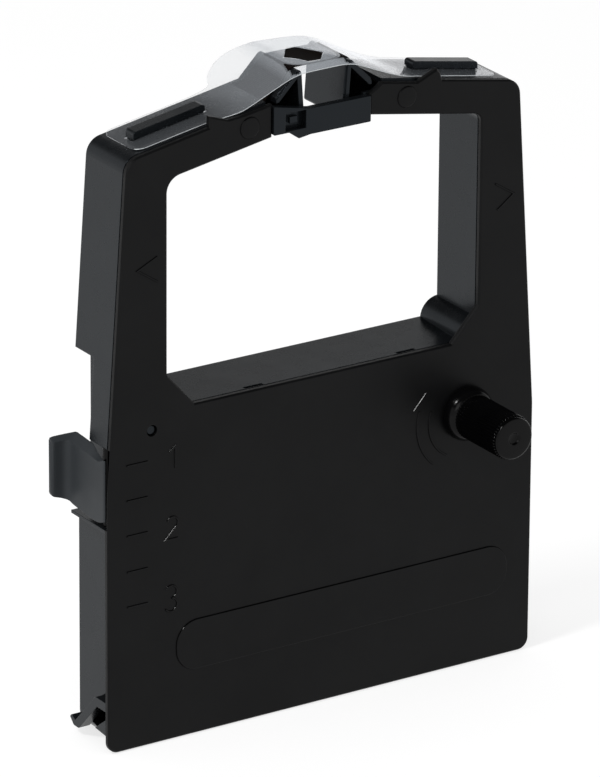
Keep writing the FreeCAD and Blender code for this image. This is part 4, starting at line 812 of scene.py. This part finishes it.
# Hand knob
KNOB_X = 42.55
KNOB_Z = 69.8
KNOB_RIBS = 44
RIB_SAMPLES = 8
RIB_BREADTH = 1.7
RIB_FULLNESS = 0.7
KNOB_PROFILE = (
    # depth, radius, rib height, squareness
    (6.6, 0.0, 0.0, 1.0), (6.6, 2.2, 0.0, 1.0), (3.62, 2.2, 0.0, 1.0), (3.6, 2.2, 0.0, 1.0),
    (3.6, 4.0, 0.0, 0.0), (3.55, 4.0, 0.0, 0.0), (-0.6, 4.0, 0.0, 0.0), (-0.6, 4.05, 0.0, 0.0),
    (-0.6, 6.9, 0.0, 0.0), (-0.66, 7.08, 0.0, 0.0), (-0.8, 7.18, 0.0, 0.0), (-1.0, 7.2, 0.0, 0.0),
    (-1.5, 7.19, 0.0, 0.0), (-2.0, 7.12, 0.0, 0.0), (-2.5, 6.98, 0.0, 0.0), (-3.0, 6.77, 0.0, 0.0),
    (-3.4, 6.53, 0.0, 0.0), (-3.75, 6.24, 0.0, 0.0), (-4.0, 5.95, 0.0, 0.0), (-4.12, 5.75, 0.0, 0.0),
    (-4.2, 5.55, 0.0, 0.0), (-4.22, 5.45, 0.0, 0.0), (-4.25, 5.5, 0.2, 0.0),
    (-4.3, 5.5, 0.38, 0.0), (-8.0, 5.5, 0.38, 0.0), (-14.0, 5.5, 0.38, 0.0), (-20.6, 5.5, 0.38, 0.0),
    (-20.95, 5.5, 0.3, 0.0), (-21.1, 5.5, 0.12, 0.0), (-21.2, 5.52, 0.0, 0.0), (-21.65, 5.5, 0.0, 0.0),
    (-21.85, 5.38, 0.0, 0.0), (-21.97, 5.15, 0.0, 0.0), (-22.0, 4.9, 0.0, 0.0), (-22.0, 2.0, 0.0, 0.0),
    (-22.0, 1.7, 0.0, 0.0), (-21.93, 1.55, 0.0, 0.0), (-21.6, 1.4, 0.0, 0.0), (-21.5, 1.15, 0.0, 0.0),
    (-21.5, 0.0, 0.0, 0.0),
)


def knob_radius(angle, radius, rib, square):
    """Radius at an angle: round, ribbed or square."""
    share = (angle * KNOB_RIBS / (2 * math.pi)) % 1.0
    ridge = max(0.0, math.cos((share - 0.5) * math.pi * RIB_BREADTH)) ** RIB_FULLNESS
    if square:
        return radius / max(abs(math.cos(angle)), abs(math.sin(angle)))
    return radius + rib * ridge


def make_knob():
    """Knob with fine ribs, a rounded collar, a smooth end with a dimple, and its keyed shaft."""
    around = KNOB_RIBS * RIB_SAMPLES
    points, faces = [], []
    rings = []
    for depth, radius, rib, square in KNOB_PROFILE:
        if radius == 0:
            rings.append([len(points)])
            points.append(at(KNOB_X, depth, KNOB_Z))
            continue
        ring = []
        for i in range(around):
            angle = 2 * math.pi * i / around
            r = knob_radius(angle, radius, rib, square)
            ring.append(len(points))
            points.append(at(KNOB_X + r * math.cos(angle), depth, KNOB_Z + r * math.sin(angle)))
        rings.append(ring)
    for near, far in zip(rings, rings[1:]):
        for i in range(around):
            j = (i + 1) % around
            if len(near) == 1:
                faces.append((near[0], far[i], far[j]))
            elif len(far) == 1:
                faces.append((near[i], far[0], near[j]))
            else:
                faces.append((near[i], far[i], far[j], near[j]))
    knob = add_mesh("knob", points, faces, "knob_plastic")
    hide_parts("hand_knob")
    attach(knob, "drive")


# Side latch
LATCH_ROWS = (
    # outer x and depth, inner x and depth, lower edge, upper edge outside and inside
    (-62.75, 2.3, -62.66, 2.4, 61.9, 78.0, 77.9), (-62.92, 2.34, -62.62, 2.6, 61.8, 78.1, 77.9),
    (-63.05, 2.5, -62.55, 2.9, 61.7, 78.1, 77.8), (-63.13, 2.8, -62.4, 3.2, 61.6, 78.05, 77.7),
    (-63.17, 3.25, -62.2, 3.6, 61.5, 77.9, 77.5), (-63.22, 4.0, -62.0, 4.1, 61.15, 77.5, 77.4),
    (-63.3, 5.0, -61.85, 5.0, 60.95, 77.2, 77.4), (-63.38, 6.2, -61.75, 6.2, 60.9, 77.35, 77.7),
    (-63.5, 8.0, -61.6, 8.0, 61.0, 77.65, 78.5), (-63.72, 10.0, -61.5, 10.0, 61.4, 78.0, 79.8),
    (-63.95, 12.0, -61.42, 12.0, 61.8, 78.3, 79.9), (-64.2, 14.0, -61.32, 14.0, 62.25, 78.65, 79.95),
    (-64.4, 15.3, -61.25, 15.6, 62.6, 78.9, 80.0), (-64.7, 16.1, -61.18, 17.0, 63.15, 79.05, 80.0),
    (-65.1, 16.6, -61.12, 18.0, 63.4, 79.1, 80.05), (-65.7, 16.85, -61.4, 18.6, 63.65, 79.15, 80.1),
    (-66.5, 16.98, -63.6, 18.75, 64.0, 79.2, 80.12), (-67.7, 17.0, -66.2, 18.75, 64.4, 79.2, 80.15),
    (-68.6, 17.0, -67.9, 18.75, 64.7, 79.15, 80.15), (-69.1, 17.1, -68.85, 18.72, 65.0, 79.0, 80.0),
    (-69.3, 17.4, -69.25, 18.45, 65.7, 78.6, 79.5),
)
LATCH_CORNERS = 4
LATCH_SHARP = math.radians(45)
LATCH_AXIS = (-61.4, 3.6)
# outer and inner radius of the hinge tube, and its lower and upper end
LATCH_TUBE = (1.15, 0.82)
LATCH_TUBE_Z = (60.25, 81.05)
LATCH_TUBE_SIDES = 40


def latch_tube(points, faces):
    """Hinge tube of the latch, nearly as tall as its pocket."""
    first = len(points)
    count = LATCH_TUBE_SIDES
    rings = [(LATCH_TUBE[0], LATCH_TUBE_Z[0]), (LATCH_TUBE[0], LATCH_TUBE_Z[1])]
    rings += [(LATCH_TUBE[1], LATCH_TUBE_Z[1]), (LATCH_TUBE[1], LATCH_TUBE_Z[0])]
    for radius, z in rings:
        for i in range(count):
            angle = 2 * math.pi * i / count
            x = LATCH_AXIS[0] + radius * math.cos(angle)
            depth = LATCH_AXIS[1] + radius * math.sin(angle)
            points.append(at(x, depth, z))
    for k in range(len(rings)):
        ring_faces(faces, first + k * count, first + (k + 1) % len(rings) * count, count)


def make_latch():
    """Latch lever: a plate that bends softly into its finger flange, and its hinge tube, which takes the
    darker knob plastic as painted shade in the gap beside the cover.
    """
    points, faces = [], []
    for outer_x, outer_depth, inner_x, inner_depth, low, top, top_inside in LATCH_ROWS:
        points.append(at(outer_x, outer_depth, low))
        points.append(at(outer_x, outer_depth, top))
        points.append(at(inner_x, inner_depth, top_inside))
        points.append(at(inner_x, inner_depth, low))
    for i in range(len(LATCH_ROWS) - 1):
        ring_faces(faces, LATCH_CORNERS * i, LATCH_CORNERS * (i + 1), LATCH_CORNERS)
    last = LATCH_CORNERS * (len(LATCH_ROWS) - 1)
    faces.append((0, 3, 2, 1))
    faces.append((last, last + 1, last + 2, last + 3))
    lever_faces = len(faces)
    latch_tube(points, faces)
    latch = add_mesh("latch", points, faces, "latch_plastic")
    latch.data.set_sharp_from_angle(angle=LATCH_SHARP)
    # the hinge tube takes the darker knob plastic: painted shade for the dark gap between the latch and the
    # cover
    latch.data.materials.append(materials["knob_plastic"])
    for polygon in latch.data.polygons[lever_faces:]:
        polygon.material_index = 1
    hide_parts("side_latch")
    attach(latch, "latch")


# Heads of the guide pins
PIN_HEAD_SIDES = 64
# depth, and share of the head's radius
PIN_HEAD_PROFILE = ((0.1, 1.0), (-0.06, 1.0), (-0.15, 0.985), (-0.23, 0.955), (-0.28, 0.91), (-0.3, 0.84))


def make_pin_heads():
    """Slightly domed heads of the two guide pins, shown as rounded discs."""
    for side in ("left", "right"):
        low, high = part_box("guide_pin_" + side)
        x, z = (low[0] + high[0]) / 2 / MM, (low[2] + high[2]) / 2 / MM
        radius = (high[2] - low[2]) / 2 / MM
        points, faces = [], []
        for depth, share in PIN_HEAD_PROFILE:
            for i in range(PIN_HEAD_SIDES):
                angle = 2 * math.pi * i / PIN_HEAD_SIDES
                reach = radius * share
                points.append(at(x + reach * math.cos(angle), depth, z + reach * math.sin(angle)))
        for k in range(len(PIN_HEAD_PROFILE) - 1):
            ring_faces(faces, k * PIN_HEAD_SIDES, (k + 1) * PIN_HEAD_SIDES, PIN_HEAD_SIDES)
        last = (len(PIN_HEAD_PROFILE) - 1) * PIN_HEAD_SIDES
        faces.append(tuple(range(PIN_HEAD_SIDES)))
        faces.append(tuple(range(last + PIN_HEAD_SIDES - 1, last - 1, -1)))
        head = add_mesh("pin_head_" + side, points, faces, "cover_plastic")
        gloss_flanks(head)
        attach(head, "shell")


make_camera()
make_world()
make_floor()
make_lights()
materials = make_materials()
dress_nodes()
make_film()
make_signs()
make_panel()
make_knob()
make_latch()
make_pin_heads()

bpy.context.scene.view_settings.view_transform = "Standard"
bpy.context.view_layer.update()
